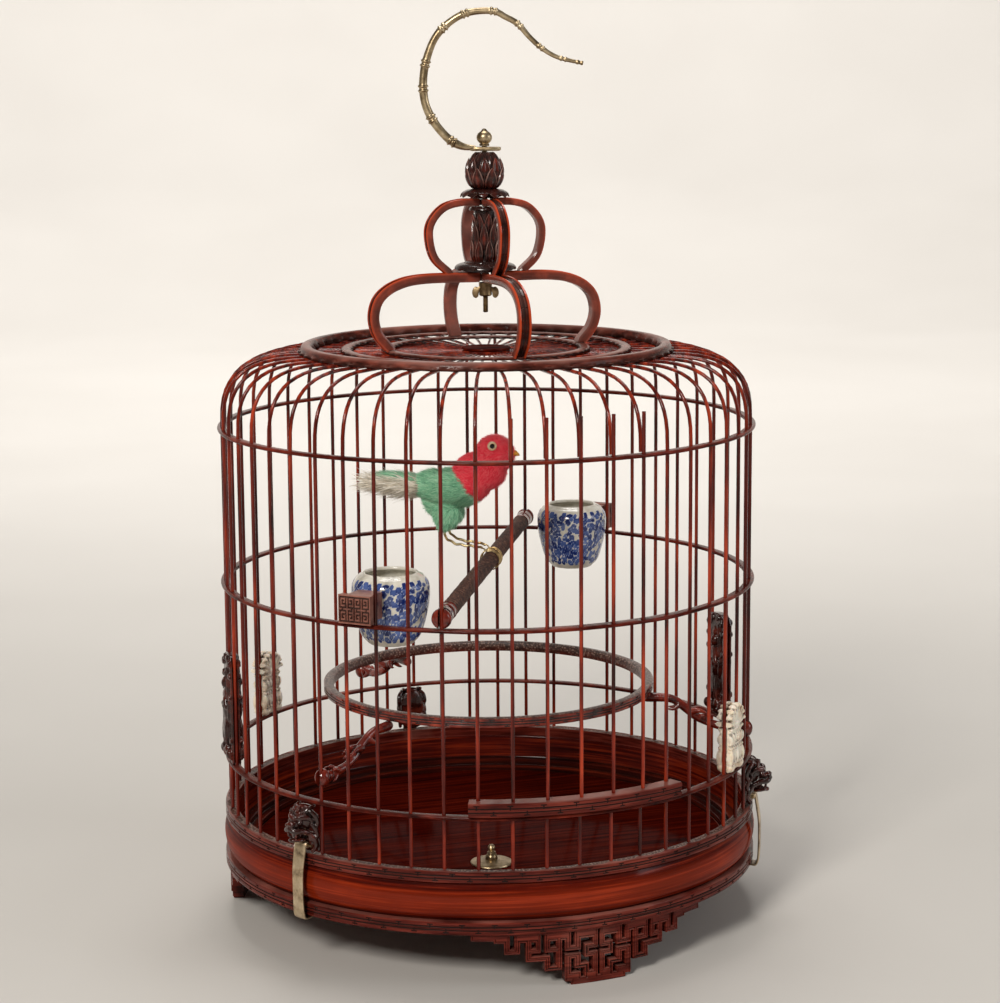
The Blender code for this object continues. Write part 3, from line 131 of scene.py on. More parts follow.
def through(points, steps):
    """Smooth curve through the given points, with that many steps between two of them."""
    points = [Vector(point) for point in points]
    ends = [2 * points[0] - points[1]] + points + [2 * points[-1] - points[-2]]
    result = []
    for k in range(len(points) - 1):
        a, b, c, d = ends[k:k + 4]
        for step in range(steps):
            t = step / steps
            result.append((2 * b + (c - a) * t + (2 * a - 5 * b + 4 * c - d) * t ** 2
                           + (3 * b - a - 3 * c + d) * t ** 3) / 2)
    return result + [points[-1]]


def walked(path):
    """Length along a path at each of its points."""
    lengths = [0.0]
    for before, after in zip(path, path[1:]):
        lengths.append(lengths[-1] + (after - before).length)
    return lengths


def heading(path, k):
    """Direction of a path at its point k."""
    return (path[min(k + 1, len(path) - 1)] - path[max(k - 1, 0)]).normalized()


# Nodes
def feed(socket, value):
    """Links a socket to another one, or sets its value."""
    if isinstance(value, bpy.types.NodeSocket):
        socket.id_data.links.new(value, socket)
    else:
        socket.default_value = value


def node(tree, kind, inputs=None, **settings):
    """Outputs of a new node, with its settings and inputs given."""
    made = tree.nodes.new(kind)
    for name, value in settings.items():
        setattr(made, name, value)
    for name, value in (inputs or {}).items():
        feed(made.inputs[name], value)
    return made.outputs


def colour_of(thousandths):
    """Colour with its alpha."""
    return (*(part / 1000 for part in thousandths), 1.0)


def ramp(factor, *stops):
    """Colours over a factor, given as (place, colour)."""
    outputs = node(factor.id_data, "ShaderNodeValToRGB", {"Fac": factor})
    elements = outputs[0].node.color_ramp.elements
    while len(elements) < len(stops):
        elements.new(0.5)
    for element, (place, colour) in zip(elements, stops):
        element.position = place
        element.color = colour_of(colour)
    return outputs[0]


def levels(value, low, high):
    """Value stretched so that low becomes 0 and high becomes 1."""
    return node(value.id_data, "ShaderNodeMapRange",
                {"Value": value, "From Min": low, "From Max": high})["Result"]


def blend(factor, first, second):
    """Mix of a colour's socket with another one or with a colour."""
    second = colour_of(second) if isinstance(second, tuple) else second
    return node(factor.id_data, "ShaderNodeMix", {0: factor, 6: first, 7: second}, data_type="RGBA")[2]


def maths(operation, first, second):
    """Operation on a socket and a value."""
    return node(first.id_data, "ShaderNodeMath", {0: first, 1: second}, operation=operation)[0]


def plus(first, second):
    """Sum of a socket and a value."""
    return maths("ADD", first, second)


def times(first, second):
    """Product of a socket and a value."""
    return maths("MULTIPLY", first, second)


def attribute(tree, name):
    """Value that the mesh carries."""
    return node(tree, "ShaderNodeAttribute", attribute_name=name)["Fac"]


def grain(tree, scale, detail=4.0, turn=0.0):
    """Noise on the piece's own coordinates, stretched by a scale along each axis."""
    scale = scale if isinstance(scale, tuple) else (scale,) * 3
    place = node(tree, "ShaderNodeTexCoord")["Object"]
    stretched = node(tree, "ShaderNodeMapping",
                     {"Vector": place, "Scale": scale, "Rotation": (0.0, 0.0, turn)})[0]
    return node(tree, "ShaderNodeTexNoise",
                {"Vector": stretched, "Scale": 1.0, "Detail": detail, "Roughness": 0.55})["Fac"]


def cells(tree, scale):
    """Distance to the nearest of strewn points, for grit."""
    place = node(tree, "ShaderNodeTexCoord")["Object"]
    return node(tree, "ShaderNodeTexVoronoi", {"Vector": place, "Scale": scale})["Distance"]


def start(name):
    """New material and its node tree."""
    made = bpy.data.materials.new(name)
    made.use_nodes = True
    return made, made.node_tree


def close(made, colour, rough, relief=None, strength=1.0, distance=0.0, **sockets):
    """Gives the material's shader its colour, roughness, relief and plain sockets."""
    sockets.update(Base_Color=colour, Roughness=rough)
    if relief:
        sockets["Normal"] = node(made.node_tree, "ShaderNodeBump",
                                 {"Height": relief, "Strength": strength, "Distance": distance})[0]
    for socket, value in sockets.items():
        feed(made.node_tree.nodes["Principled BSDF"].inputs[socket.replace("_", " ")], value)
    return made


# Materials
def lacquer(name, dark, body, bright, scale, worn_and_highlight, wear, roughness, coat, relief, gloss, turn=0.0):
    """Red-brown lacquer over grain, with painted shade in the carving, painted orange-red highlights on
    rounded edges, and grey where hands and dust wear its top and where a mesh's pale value paints wear and
    highlights.
    """
    made, tree = start(name)
    cloud = grain(tree, 28.0, 3.0)
    fine = grain(tree, tuple(axis * 5 for axis in scale), 4.0, turn)
    streaks = plus(times(grain(tree, scale, 6.0, turn), 0.75), times(cloud, 0.25))
    colour = ramp(streaks, (0.36, dark), (0.50, body), (0.68, bright))
    up = node(tree, "ShaderNodeSeparateXYZ", {0: node(tree, "ShaderNodeTexCoord")["Normal"]})[2]
    patches = levels(plus(times(up, 0.35), cloud), 0.62, 0.95)
    # Worn colour on worn tops, and where the mesh's pale value says: wear and painted highlight on the
    # petals' tips and on the arches' sides and undersides
    colour = blend(maths("MAXIMUM", times(patches, wear), attribute(tree, "pale")), colour, worn_and_highlight)
    # Painted highlight: bright orange-red on the arches' rounded edges and across the middle of the drum's
    # bulge
    colour = blend(attribute(tree, "glow"), colour, (580, 62, 14))
    # Painted shade: near black where the mesh's carving value says, in cut lines, grooves, hollows and under
    # parts
    colour = blend(times(attribute(tree, "carving"), 0.9), colour, (12, 6, 5))
    dust = attribute(tree, "dust")
    grit = cells(tree, 900.0)
    scales = ramp(grit, (0.12, (420, 290, 230)), (0.34, (130, 72, 50)), (0.60, (30, 15, 11)))
    colour = blend(times(dust, 0.9), colour, scales)
    rough = plus(times(levels(cloud, 0.35, 0.75), 0.16), roughness - 0.06)
    rise = plus(times(fine, relief), times(grit, times(dust, -1.0)))
    return close(made, colour, plus(rough, times(dust, 0.3)), rise, 1.0, 0.00025,
                 Coat_Weight=coat, Coat_Roughness=0.12, Specular_IOR_Level=gloss)


# Dark, body and bright colour, grain along the axes, worn colour, which is also that of painted highlights;
# then wear, roughness, coat, relief, gloss
LACQUERS = {
    "bar_lacquer": ((22, 3, 2), (135, 11, 5), (480, 50, 14), (330, 330, 26), (260, 85, 65), 0.12, 0.18, 0.35,
                    0.12, 0.12),
    "hoop_lacquer": ((20, 3, 2), (80, 10, 6), (240, 30, 15), (80, 80, 300), (240, 80, 60), 0.3, 0.24, 0.08,
                     0.25, 0.04),
    "carved_lacquer": ((40, 5, 3), (105, 14, 9), (240, 42, 26), (45, 45, 800), (420, 190, 150), 0.4, 0.2, 0.2,
                       0.06, 0.04),
    "worn_roof_lacquer": ((35, 9, 6), (110, 24, 16), (260, 60, 38), (130, 130, 500), (320, 150, 120), 0.7,
                          0.3, 0.12, 0.25, 0.04),
    "arch_lacquer": ((30, 6, 4), (95, 14, 8), (300, 45, 20), (160, 160, 160), (420, 250, 210), 0.6, 0.2, 0.3,
                     0.1, 0.1),
    "drum_lacquer": ((34, 2, 1), (95, 6, 2), (300, 30, 7), (20, 20, 900), (220, 100, 85), 0.0, 0.2, 0.25,
                     0.006, 0.0),
    "floor_lacquer": ((18, 1, 1), (50, 3, 1), (110, 9, 3), (13, 380, 60), (220, 100, 85), 0.0, 0.4, 0.04,
                      0.006, 0.0, -math.radians(PHOTO_TURN)),
    "vine_lacquer": ((30, 4, 3), (150, 14, 7), (380, 45, 18), (160, 160, 160), (280, 100, 80), 0.2, 0.2, 0.4,
                     0.25, 0.35),
    "dark_carving": ((9, 3, 3), (35, 9, 7), (130, 26, 16), (240, 240, 240), (180, 80, 65), 0.5, 0.22, 0.3,
                     0.25, 0.3),
    "glossy_carving": ((8, 2, 1), (40, 6, 4), (150, 20, 10), (200, 200, 200), (200, 60, 40), 0.2, 0.14, 0.6,
                       0.03, 0.4),
    "block_carving": ((100, 34, 25), (250, 95, 68), (380, 160, 115), (200, 200, 200), (440, 230, 180), 0.5,
                      0.4, 0.1, 0.25, 0.3),
    "petal_lacquer": ((12, 3, 2), (80, 10, 6), (340, 36, 14), (240, 240, 240), (520, 300, 250), 0.08, 0.2,
                      0.3, 0.25, 0.2),
    "plaque_wood": ((6, 2, 1), (32, 6, 4), (150, 20, 10), (110, 110, 160), (120, 45, 32), 0.2, 0.2, 0.4, 0.25,
                    0.25),
}
(BAR_LACQUER, HOOP_LACQUER, CARVED_LACQUER, ROOF_LACQUER, ARCH_LACQUER, DRUM_LACQUER, FLOOR_LACQUER,
 VINE_LACQUER, DARK_CARVING, GLOSSY_CARVING, BLOCK_CARVING, PETAL_LACQUER, PLAQUE_WOOD) = (
    lacquer(name, *row) for name, row in LACQUERS.items())


def metal(name, dark, body, bright, roughness=0.36):
    """Aged metal with a cloudy patina and fine scratches."""
    made, tree = start(name)
    cloud = grain(tree, 170.0, 6.0)
    spots = grain(tree, 900.0, 3.0)
    colour = ramp(plus(times(cloud, 0.8), times(spots, 0.2)), (0.36, dark), (0.50, body), (0.66, bright))
    # Painted shade: dark brown where the mesh's carving value says, on the straps' edges and undersides and
    # at the acorn nut's foot; the nut's tip is darker too
    colour = blend(times(attribute(tree, "carving"), 0.8), colour, (45, 30, 20))
    return close(made, colour, plus(times(cloud, 0.3), roughness - 0.15), spots, 0.15, 0.0001, Metallic=1.0)


BRASS = metal("hook_brass", (220, 155, 85), (440, 335, 200), (660, 540, 360))
STRAP_BRASS = metal("strap_brass", (240, 175, 115), (660, 510, 330), (860, 720, 510))
DARK_BRASS = metal("dark_brass", (100, 65, 35), (240, 160, 85), (450, 330, 180))
GOLD_WIRE = metal("gold_wire", (260, 150, 60), (600, 410, 180), (880, 720, 400), 0.34)


def make_sanded_wood():
    """Dark wood with sand glued on, pitted and dull."""
    made, tree = start("sanded_wood")
    cloud = grain(tree, 650.0, 5.0)
    tone = plus(times(cloud, 0.7), times(cells(tree, 1900.0), 0.35))
    colour = ramp(tone, (0.40, (14, 6, 4)), (0.56, (80, 27, 16)), (0.72, (320, 160, 110)))
    return close(made, colour, plus(times(cloud, 0.3), 0.55), tone, 0.9, 0.0005, Specular_IOR_Level=0.25)


def make_porcelain():
    """White glaze with the painting under it, in cobalt that pools and thins."""
    made, tree = start("porcelain_glaze")
    paint = attribute(tree, "paint")
    cloud = grain(tree, 260.0)
    brush = times(paint, plus(times(cloud, 0.9), 0.55))
    glaze = ramp(cloud, (0.35, (620, 580, 480)), (0.65, (800, 770, 680)))
    blue = ramp(brush, (0.05, (600, 640, 700)), (0.38, (95, 160, 420)), (0.80, (8, 22, 130)))
    return close(made, blend(levels(brush, 0.02, 0.25), glaze, blue), 0.09, paint, 0.05, 0.0001,
                 Coat_Weight=0.4, Coat_Roughness=0.04)


def make_bone():
    """Old bone: cream and fibrous, with painted shade in brown in its hollows."""
    made, tree = start("old_bone")
    fibre = grain(tree, (500.0, 500.0, 60.0), 5.0)
    cloud = grain(tree, 120.0, 3.0)
    tone = plus(times(fibre, 0.5), times(cloud, 0.5))
    colour = ramp(tone, (0.34, (580, 410, 270)), (0.46, (900, 760, 580)), (0.60, (970, 900, 780)))
    # Painted shade: brown in the hollows
    colour = blend(times(attribute(tree, "carving"), 0.92), colour, (85, 30, 14))
    return close(made, colour, plus(times(cloud, 0.25), 0.28), fibre, 0.2, 0.0002,
                 Subsurface_Weight=0.08, Subsurface_Scale=0.001, Coat_Weight=0.1)


def feathers(name, dark, body, bright):
    """Dyed feather, each barb a little lighter or darker than the next."""
    made, tree = start(name)
    cloud = grain(tree, 260.0)
    tone = plus(times(attribute(tree, "tone"), 0.55), times(cloud, 0.6))
    return close(made, ramp(tone, (0.22, dark), (0.52, body), (0.88, bright)), plus(times(cloud, 0.3), 0.5),
                 cloud, 0.2, 0.0003, Sheen_Weight=0.25, Specular_IOR_Level=0.2)


def glassy(name, dark, light, roughness):
    """Smooth hard surface with a faint mottle: horn or glass."""
    made, tree = start(name)
    mottle = grain(tree, 700.0, 3.0)
    return close(made, ramp(mottle, (0.35, dark), (0.65, light)), plus(times(mottle, 0.1), roughness),
                 Coat_Weight=0.5, Coat_Roughness=0.05)


SANDED_WOOD = make_sanded_wood()
PORCELAIN = make_porcelain()
BONE = make_bone()
GREEN_FEATHERS = feathers("green_feathers", (120, 360, 200), (260, 620, 380), (500, 800, 560))
RED_FEATHERS = feathers("red_feathers", (780, 14, 35), (1000, 45, 85), (1000, 180, 200))
CREAM_FEATHERS = feathers("cream_feathers", (500, 420, 310), (860, 790, 660), (980, 940, 850))
BEAK_HORN = glassy("beak_horn", (500, 160, 20), (800, 420, 50), 0.2)
EYE_RING = glassy("eye_ring", (600, 360, 160), (800, 680, 460), 0.3)
EYE_GLASS = glassy("eye_glass", (4, 3, 3), (12, 8, 6), 0.03)


# Geometry-node trees
def new_tree(name, **sizes):
    """Tree with a Geometry input, the named sizes and a Finish; returns it with its group's inputs."""
    tree = bpy.data.node_groups.new(name, "GeometryNodeTree")
    for size, kind in {"Geometry": "Geometry", **sizes, "Finish": "Material"}.items():
        tree.interface.new_socket(size, in_out="INPUT", socket_type="NodeSocket" + kind)
    tree.interface.new_socket("Geometry", in_out="OUTPUT", socket_type="NodeSocketGeometry")
    return tree, node(tree, "NodeGroupInput")


def end_tree(tree, given, geometry):
    """Ends a tree: instances made real, shaded and given their finish."""
    real = node(tree, "GeometryNodeRealizeInstances", {"Geometry": geometry})[0]
    shaded = node(tree, "GeometryNodeSetShadeSmooth", {"Geometry": real, "Shade Smooth": True})[0]
    painted = node(tree, "GeometryNodeSetMaterial", {"Geometry": shaded, "Material": given["Finish"]})[0]
    node(tree, "NodeGroupOutput", {"Geometry": painted})
    return tree


def build_rod_tree():
    """Round rods along the mesh's edges, as thick at each point as the mesh's thickness says."""
    tree, given = new_tree("rods", Sides="Int")
    curve = node(tree, "GeometryNodeMeshToCurve", {"Mesh": given["Geometry"]})[0]
    ring = node(tree, "GeometryNodeCurvePrimitiveCircle", {"Resolution": given["Sides"], "Radius": 1.0})[0]
    thick = node(tree, "GeometryNodeInputNamedAttribute", {"Name": "thickness"})[0]
    return end_tree(tree, given, node(tree, "GeometryNodeCurveToMesh", {
        "Curve": curve, "Profile Curve": ring, "Scale": thick, "Fill Caps": True})[0])


def build_round_tree():
    """Copies of the mesh turned round the cage's axis, from a first angle and one step apart."""
    tree, given = new_tree("repeat_round", Count="Int", First="Float", Step="Float")
    line = node(tree, "GeometryNodeMeshLine", {"Count": given["Count"], "Offset": (0.0, 0.0, 0.0)})[0]
    index = node(tree, "GeometryNodeInputIndex")[0]
    turned_by = node(tree, "ShaderNodeMath", {0: index, 1: given["Step"], 2: given["First"]},
                     operation="MULTIPLY_ADD")[0]
    euler = node(tree, "ShaderNodeCombineXYZ", {"Z": turned_by})[0]
    rotation = node(tree, "FunctionNodeEulerToRotation", {"Euler": euler})[0]
    return end_tree(tree, given, node(tree, "GeometryNodeInstanceOnPoints", {
        "Points": line, "Instance": given["Geometry"], "Rotation": rotation})[0])


def build_feather_tree():
    """Feather barbs strewn over the mesh, combed along the mesh's flow and lifted a little off it."""
    tree, given = new_tree("feathers", Barb="Object", Density="Float", Size="Float", Lift="Float", Seed="Int")

    def strayed(kind, output, low, high, seed=given["Seed"]):
        """Random value between two limits."""
        return node(tree, "FunctionNodeRandomValue", {**low, **high, "Seed": seed}, data_type=kind)[output]

    strewn = node(tree, "GeometryNodeDistributePointsOnFaces", {
        "Mesh": given["Geometry"], "Density": given["Density"], "Seed": given["Seed"]})
    flow = node(tree, "GeometryNodeInputNamedAttribute", {"Name": "flow"}, data_type="FLOAT_VECTOR")[0]
    stray = strayed("FLOAT_VECTOR", 0, {0: (-0.35,) * 3}, {1: (0.35,) * 3})
    combed = node(tree, "ShaderNodeVectorMath", {0: flow, 1: stray}, operation="ADD")[0]
    lifted = node(tree, "ShaderNodeVectorMath", {0: strewn["Normal"], "Scale": given["Lift"]},
                  operation="SCALE")[0]
    along = node(tree, "ShaderNodeVectorMath", {0: combed, 1: lifted}, operation="ADD")[0]
    rotation = node(tree, "FunctionNodeAxesToRotation",
                    {"Primary Axis": along, "Secondary Axis": strewn["Normal"]},
                    primary_axis="X", secondary_axis="Z")[0]
    scale = times(strayed("FLOAT", 1, {2: 0.55}, {3: 1.25}), given["Size"])
    barb = node(tree, "GeometryNodeObjectInfo", {"Object": given["Barb"]})["Geometry"]
    tone = strayed("FLOAT", 1, {2: 0.0}, {3: 1.0}, 7)
    toned = node(tree, "GeometryNodeStoreNamedAttribute",
                 {"Geometry": strewn["Points"], "Name": "tone", "Value": tone},
                 data_type="FLOAT", domain="POINT")[0]
    return end_tree(tree, given, node(tree, "GeometryNodeInstanceOnPoints", {
        "Points": toned, "Instance": barb, "Rotation": rotation, "Scale": scale})[0])


ROD_TREE = build_rod_tree()
ROUND_TREE = build_round_tree()
FEATHER_TREE = build_feather_tree()


# Meshes
def settle(thing):
    """Makes an object's modifiers real in its mesh."""
    graph = bpy.context.evaluated_depsgraph_get()
    mesh = bpy.data.meshes.new_from_object(thing.evaluated_get(graph), preserve_all_data_layers=True,
                                           depsgraph=graph)
    thing.modifiers.clear()
    thing.data = mesh
    return thing


def grow(thing, tree, material, **sizes):
    """Runs a tree on an object with its inputs set, and keeps the result as the object's plain mesh."""
    change = thing.modifiers.new(tree.name, "NODES")
    change.node_group = tree
    sizes["Finish"] = material
    for item in tree.interface.items_tree:
        if item.in_out == "INPUT" and item.name in sizes:
            change[item.identifier] = sizes[item.name]
    return settle(thing)


def repeat(thing, material, count, first, step):
    """Copies of an object round the cage's axis."""
    return grow(thing, ROUND_TREE, material, Count=count, First=math.radians(first), Step=math.radians(step))


def add_object(name, data):
    """Object in the scene."""
    made = bpy.data.objects.new(name, data)
    bpy.context.scene.collection.objects.link(made)
    return made


def add_mesh(name, points, faces, material=None, edges=(), **values):
    """Object from points and faces, with one number per point for each named value."""
    mesh = bpy.data.meshes.new(name)
    mesh.from_pydata([tuple(Vector(point) * MM) for point in points], list(edges), faces)
    for value, numbers in values.items():
        mesh.attributes.new(value, "FLOAT", "POINT").data.foreach_set("value", numbers)
    mesh.polygons.foreach_set("use_smooth", [True] * len(mesh.polygons))
    if material:
        mesh.materials.append(material)
    mesh.update()
    return add_object(name, mesh)


def shift(thing, matrix):
    """Moves a mesh by a matrix whose distances are in mm."""
    in_metres = matrix.copy()
    in_metres.translation *= MM
    thing.data.transform(in_metres)
    return thing


def copy_of(thing, name, matrix):
    """Copy of a finished mesh, moved."""
    return shift(add_object(name, thing.data.copy()), matrix)


def remove(*things):
    """Removes helper objects."""
    for thing in things:
        bpy.data.objects.remove(thing)


def outward(thing):
    """Merges doubles and turns all faces outwards."""
    work = bmesh.new()
    work.from_mesh(thing.data)
    bmesh.ops.remove_doubles(work, verts=work.verts, dist=0.002 * MM)
    bmesh.ops.recalc_face_normals(work, faces=work.faces)
    work.to_mesh(thing.data)
    work.free()
    return thing


def crease(thing, angle=32.0):
    """Keeps the edges sharp that turn more than an angle."""
    thing.data.set_sharp_from_angle(angle=math.radians(angle))
    return thing


def join(name, *things):
    """One object from several, with their materials and values kept."""
    things = list(things)
    with bpy.context.temp_override(active_object=things[0], selected_editable_objects=things,
                                   selected_objects=things, object=things[0]):
        bpy.ops.object.join()
    things[0].name = name
    return things[0]


def fit(thing, body, slot, *nodes):
    """Puts a finished piece under its body and hides the solids that it stands for; its slot is not used."""
    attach(thing, body)
    if nodes:
        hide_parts(*nodes)


def loft(name, sections, material, closed=False, **values):
    """Skin over sections of equal length, with caps where it isn't closed; each section's loop is closed."""
    count = len(sections[0])
    last = (len(sections) - 1) * count
    faces = []
    for k in range(len(sections) if closed else len(sections) - 1):
        low = k * count
        high = (k + 1) % len(sections) * count
        faces += [(low + i, low + (i + 1) % count, high + (i + 1) % count, high + i) for i in range(count)]
    if not closed:
        faces += [tuple(range(count))[::-1], tuple(range(last, last + count))]
    points = [point for section in sections for point in section]
    return crease(outward(add_mesh(name, points, faces, material, **values)))


def turned(name, profile, steps, material, closed=False, low=0.0, centre=Vector((0.0, 0.0, 0.0)), sharp=32.0,
           **values):
    """Piece turned about an upright axis from (radius, height) points; values go with its profile."""
    count = len(profile)
    points = []
    faces = []
    for step in range(steps):
        points += [centre + spot(radius, 360 * step / steps, low + height) for radius, height in profile]
        here = step * count
        after = (step + 1) % steps * count
        for i in range(count if closed else count - 1):
            j = (i + 1) % count
            faces.append((here + i, after + i, after + j, here + j))
    for value, numbers in values.items():
        values[value] = numbers if len(numbers) > count else numbers * steps
    return crease(outward(add_mesh(name, points, faces, material, **values)), sharp)


def rods(name, routes, radius, material, sides=12):
    """Rods along routes of (point, share of the radius) pairs, grown by the rod tree."""
    points = []
    edges = []
    thickness = []
    for route in routes:
        edges += [(k, k + 1) for k in range(len(points), len(points) + len(route) - 1)]
        points += [point for point, share in route]
        thickness += [radius * share * MM for point, share in route]
    return grow(add_mesh(name, points, [], edges=edges, thickness=thickness), ROD_TREE, material, Sides=sides)


def posts(name, angles, circle, levels_passed, radius, material, sides=12):
    """Upright rods at places round the cage."""
    return rods(name, [[(spot(circle, angle, z), 1.0) for z in levels_passed] for angle in angles], radius,
                material, sides)


def add_box(size, matrix):
    """Plain box, for cutting."""
    work = bmesh.new()
    bmesh.ops.create_cube(work, size=1.0, matrix=Matrix.Scale(MM, 4) @ matrix @ Matrix.Diagonal((*size, 1.0)))
    mesh = bpy.data.meshes.new("box")
    work.to_mesh(mesh)
    work.free()
    return add_object("box", mesh)


def cut(thing, tool):
    """Cuts one mesh out of another, and removes the tool."""
    change = thing.modifiers.new("cut", "BOOLEAN")
    change.operation = "DIFFERENCE"
    change.solver = "MANIFOLD"
    change.object = tool
    settle(thing)
    remove(tool)
    return thing


# Carved key border
def key_cuts(unit, height):
    """Rectangles of cut lines in one unit of the border, along and across it."""
    half = CUT_WIDTH / 2
    upper = height * 0.66
    lower = height * 0.34
    foot = min(1.2, unit * 0.09)
    reach = height * 0.22
    cuts = [(0.0, unit, upper - half, upper + half), (0.0, unit, lower - half, lower + half)]
    for along, line, tip in ((unit * 0.25, upper, upper + reach), (unit * 0.75, lower, lower - reach)):
        back = line - (tip - line) * 0.55
        cuts.append((along - half, along + half, min(tip, back), max(tip, back)))
        cuts.append((along - foot, along + foot, tip - half, tip + half))
    return cuts


def break_places(pairs, high):
    """Places where a cut's floor and walls start and end, from nothing to a limit."""
    places = {0.0, high}
    for start_at, end_at in pairs:
        places |= {start_at - CUT_SLOPE, start_at, end_at, end_at + CUT_SLOPE}
    return sorted({round(min(max(place, 0.0), high), 4) for place in places})


def key_places(unit, height):
    """Cuts of one unit of the border, with its places along and across."""
    cuts = key_cuts(unit, height)
    along = break_places([(a, b) for a, b, c, d in cuts if b - a < unit * 0.9], unit)[:-1]
    return cuts, along, break_places([(c, d) for a, b, c, d in cuts], height)


def keyed(name, stations, cuts, rises, radius, low, rest, material, closed):
    """Skin with the key border cut in its outer face, over stations of (angle, place in the unit).

    The section's other points go from top to bottom: (radius, height), perhaps with dust, or a rule from the
    angle.
    """
    sections = []
    carving = []
    dust = []
    tiny = 0.001
    for angle, place in stations:
        sunk = [float(any(a - tiny <= place <= b + tiny and c - tiny <= rise <= d + tiny
                          for a, b, c, d in cuts))
                for rise in rises]
        others = [point(angle) if callable(point) else (*point, 0.0)[:3] for point in rest]
        sections.append([spot(radius - CUT_DEPTH * deep, angle, low + rise)
                         for deep, rise in zip(sunk, rises)]
                        + [spot(out, angle, z) for out, z, dusty in others])
        # Painted shade on the floors of the cut lines
        carving += sunk + [0.0] * len(rest)
        dust += [0.0] * len(sunk) + [dusty for out, z, dusty in others]
    return loft(name, sections, material, closed=closed, carving=carving, dust=dust)


def key_ring(name, radius, low, height, rest, units, material):
    """Ring with the key border all round it."""
    unit = 2 * math.pi * radius / units
    cuts, places, rises = key_places(unit, height)
    stations = [(360 * (k + place / unit) / units, place) for k in range(units) for place in places]
    return keyed(name, stations, cuts, rises, radius, low, rest, material, True)


# Base
def make_rims():
    """Lower rim with its floor seat, and top rim with the patina between the bars' feet."""
    edge = 0.7
    top = RIM_Z + RIM_HEIGHT
    ledge = top - 3.0
    seat = FLOOR_RADIUS + 0.6
    inner = 99.0
    rest = [(RIM_RADIUS - edge * 0.3, top - edge * 0.3), (RIM_RADIUS - edge, top), (seat, top), (seat, ledge),
            (inner, ledge), (inner, RIM_Z), (RIM_RADIUS - edge, RIM_Z),
            (RIM_RADIUS - edge * 0.3, RIM_Z + edge * 0.3)]
    fit(key_ring("lower_rim_carved", RIM_RADIUS, RIM_Z + edge, RIM_HEIGHT - 2 * edge, rest, 56,
                 CARVED_LACQUER),
        "cage", "carved_wood", "lower_rim")
    edge = 0.5
    top = TOP_RIM_Z + TOP_RIM_HEIGHT

    def scallop(share, drop, dusty):
        """Point of the dull scallops that run from bar to bar on the rim's top."""
        def place(angle):
            wave = abs(math.sin(math.radians(angle) * BARS / 2)) ** 0.6
            return TOP_RIM_INNER + 0.7 + share * (1.2 + 2.2 * wave), top - drop * wave, dusty
        return place

    rest = [(TOP_RIM_OUTER - edge * 0.3, top - edge * 0.3), (TOP_RIM_OUTER - edge, top),
            scallop(1.06, 0.0, 0.0), scallop(1.0, 0.25, 0.7), scallop(0.5, 0.45, 1.0), scallop(0.0, 0.2, 0.8),
            (TOP_RIM_INNER, top - 0.4), (TOP_RIM_INNER, TOP_RIM_Z), (TOP_RIM_OUTER - edge, TOP_RIM_Z),
            (TOP_RIM_OUTER - edge * 0.3, TOP_RIM_Z + edge * 0.3)]
    fit(key_ring("top_rim_carved", TOP_RIM_OUTER, TOP_RIM_Z + edge, TOP_RIM_HEIGHT - 2 * edge, rest, BARS,
                 CARVED_LACQUER), "cage", "carved_wood", "top_rim")


def make_drum():
    """Bulging drum wall with the step inside it, with painted shade along its edges and in the step's
    corners, and a painted highlight in its middle.
    """
    height = DRUM_TOP - DRUM_Z
    outer = through([(119.4, 0.0), (121.5, 3.0), (122.4, 8.2), (121.9, 12.2), (120.7, height - 0.3)], 6)
    # Inner step: radius, height and painted shade, darkest in its corners
    steps = [(120.3, height, 0.2), (117.2, height, 0.0), (117.0, height - 0.4, 0.0), (117.0, 6.2, 0.1),
             (116.7, 5.6, 0.9), (112.8, 5.6, 0.6), (112.4, 5.2, 0.6), (112.4, 3.0, 0.95), (112.1, 2.8, 0.9),
             (109.3, 2.8, 0.5), (109.0, 2.5, 0.5), (109.0, 0.0, 0.9)]
    profile = [tuple(point) for point in outer] + [(radius, z) for radius, z, dark in steps]
    middle = len(outer) - 8
    # Painted shade along the bulge's top and bottom edges, then that of the inner step
    painted_drum_shade = ([0.75, 0.6, 0.4, 0.2] + [0.0] * middle + [0.05, 0.15, 0.3, 0.45]
             + [dark for radius, z, dark in steps])
    # Painted highlight across the middle of the bulge
    middle_highlight = [0.0] * 4 + [0.22 * math.sin(math.pi * (k + 1) / (middle + 1)) for k in range(middle)] + [0.0] * 16
    fit(turned("drum_wall", profile, 240, DRUM_LACQUER, True, DRUM_Z, carving=painted_drum_shade, glow=middle_highlight),
        "cage", "lacquered_wood", "drum")


def make_floor():
    """Floor board with the bore for its brass pull."""
    thick = 4.0
    hole = spot(44.6, -17.6)
    board = turned("floor_board_grained",
                   [(0.0, 0.0), (107.4, 0.0), (107.9, -0.2), (108.0, -0.6), (108.0, -thick),
                    (0.0, -thick)], 192, FLOOR_LACQUER, low=FLOOR_TOP)
    cut(board, turned("pull_bore", [(0.0, -thick - 1), (1.8, -thick - 1), (1.8, 1.0), (0.0, 1.0)], 24,
                      FLOOR_LACQUER, low=FLOOR_TOP, centre=hole))
    fit(crease(board), "floor", "lacquered_wood", "floor_board")
    pull = [(0.0, 8.7), (0.9, 8.5), (1.5, 7.9), (1.7, 7.1), (1.4, 6.2), (1.0, 5.8), (1.3, 5.5), (1.9, 5.2),
            (2.0, 4.8), (1.7, 4.5), (2.4, 3.8), (2.8, 2.6), (2.7, 1.8), (3.1, 1.6), (4.0, 1.4), (8.0, 1.2),
            (9.3, 0.8), (9.5, 0.3), (1.5, 0.3), (1.5, -thick), (0.0, -thick)]
    fit(turned("floor_pull_turned", pull, 48, BRASS, low=FLOOR_TOP, centre=hole), "floor", "brass",
        "floor_pull")


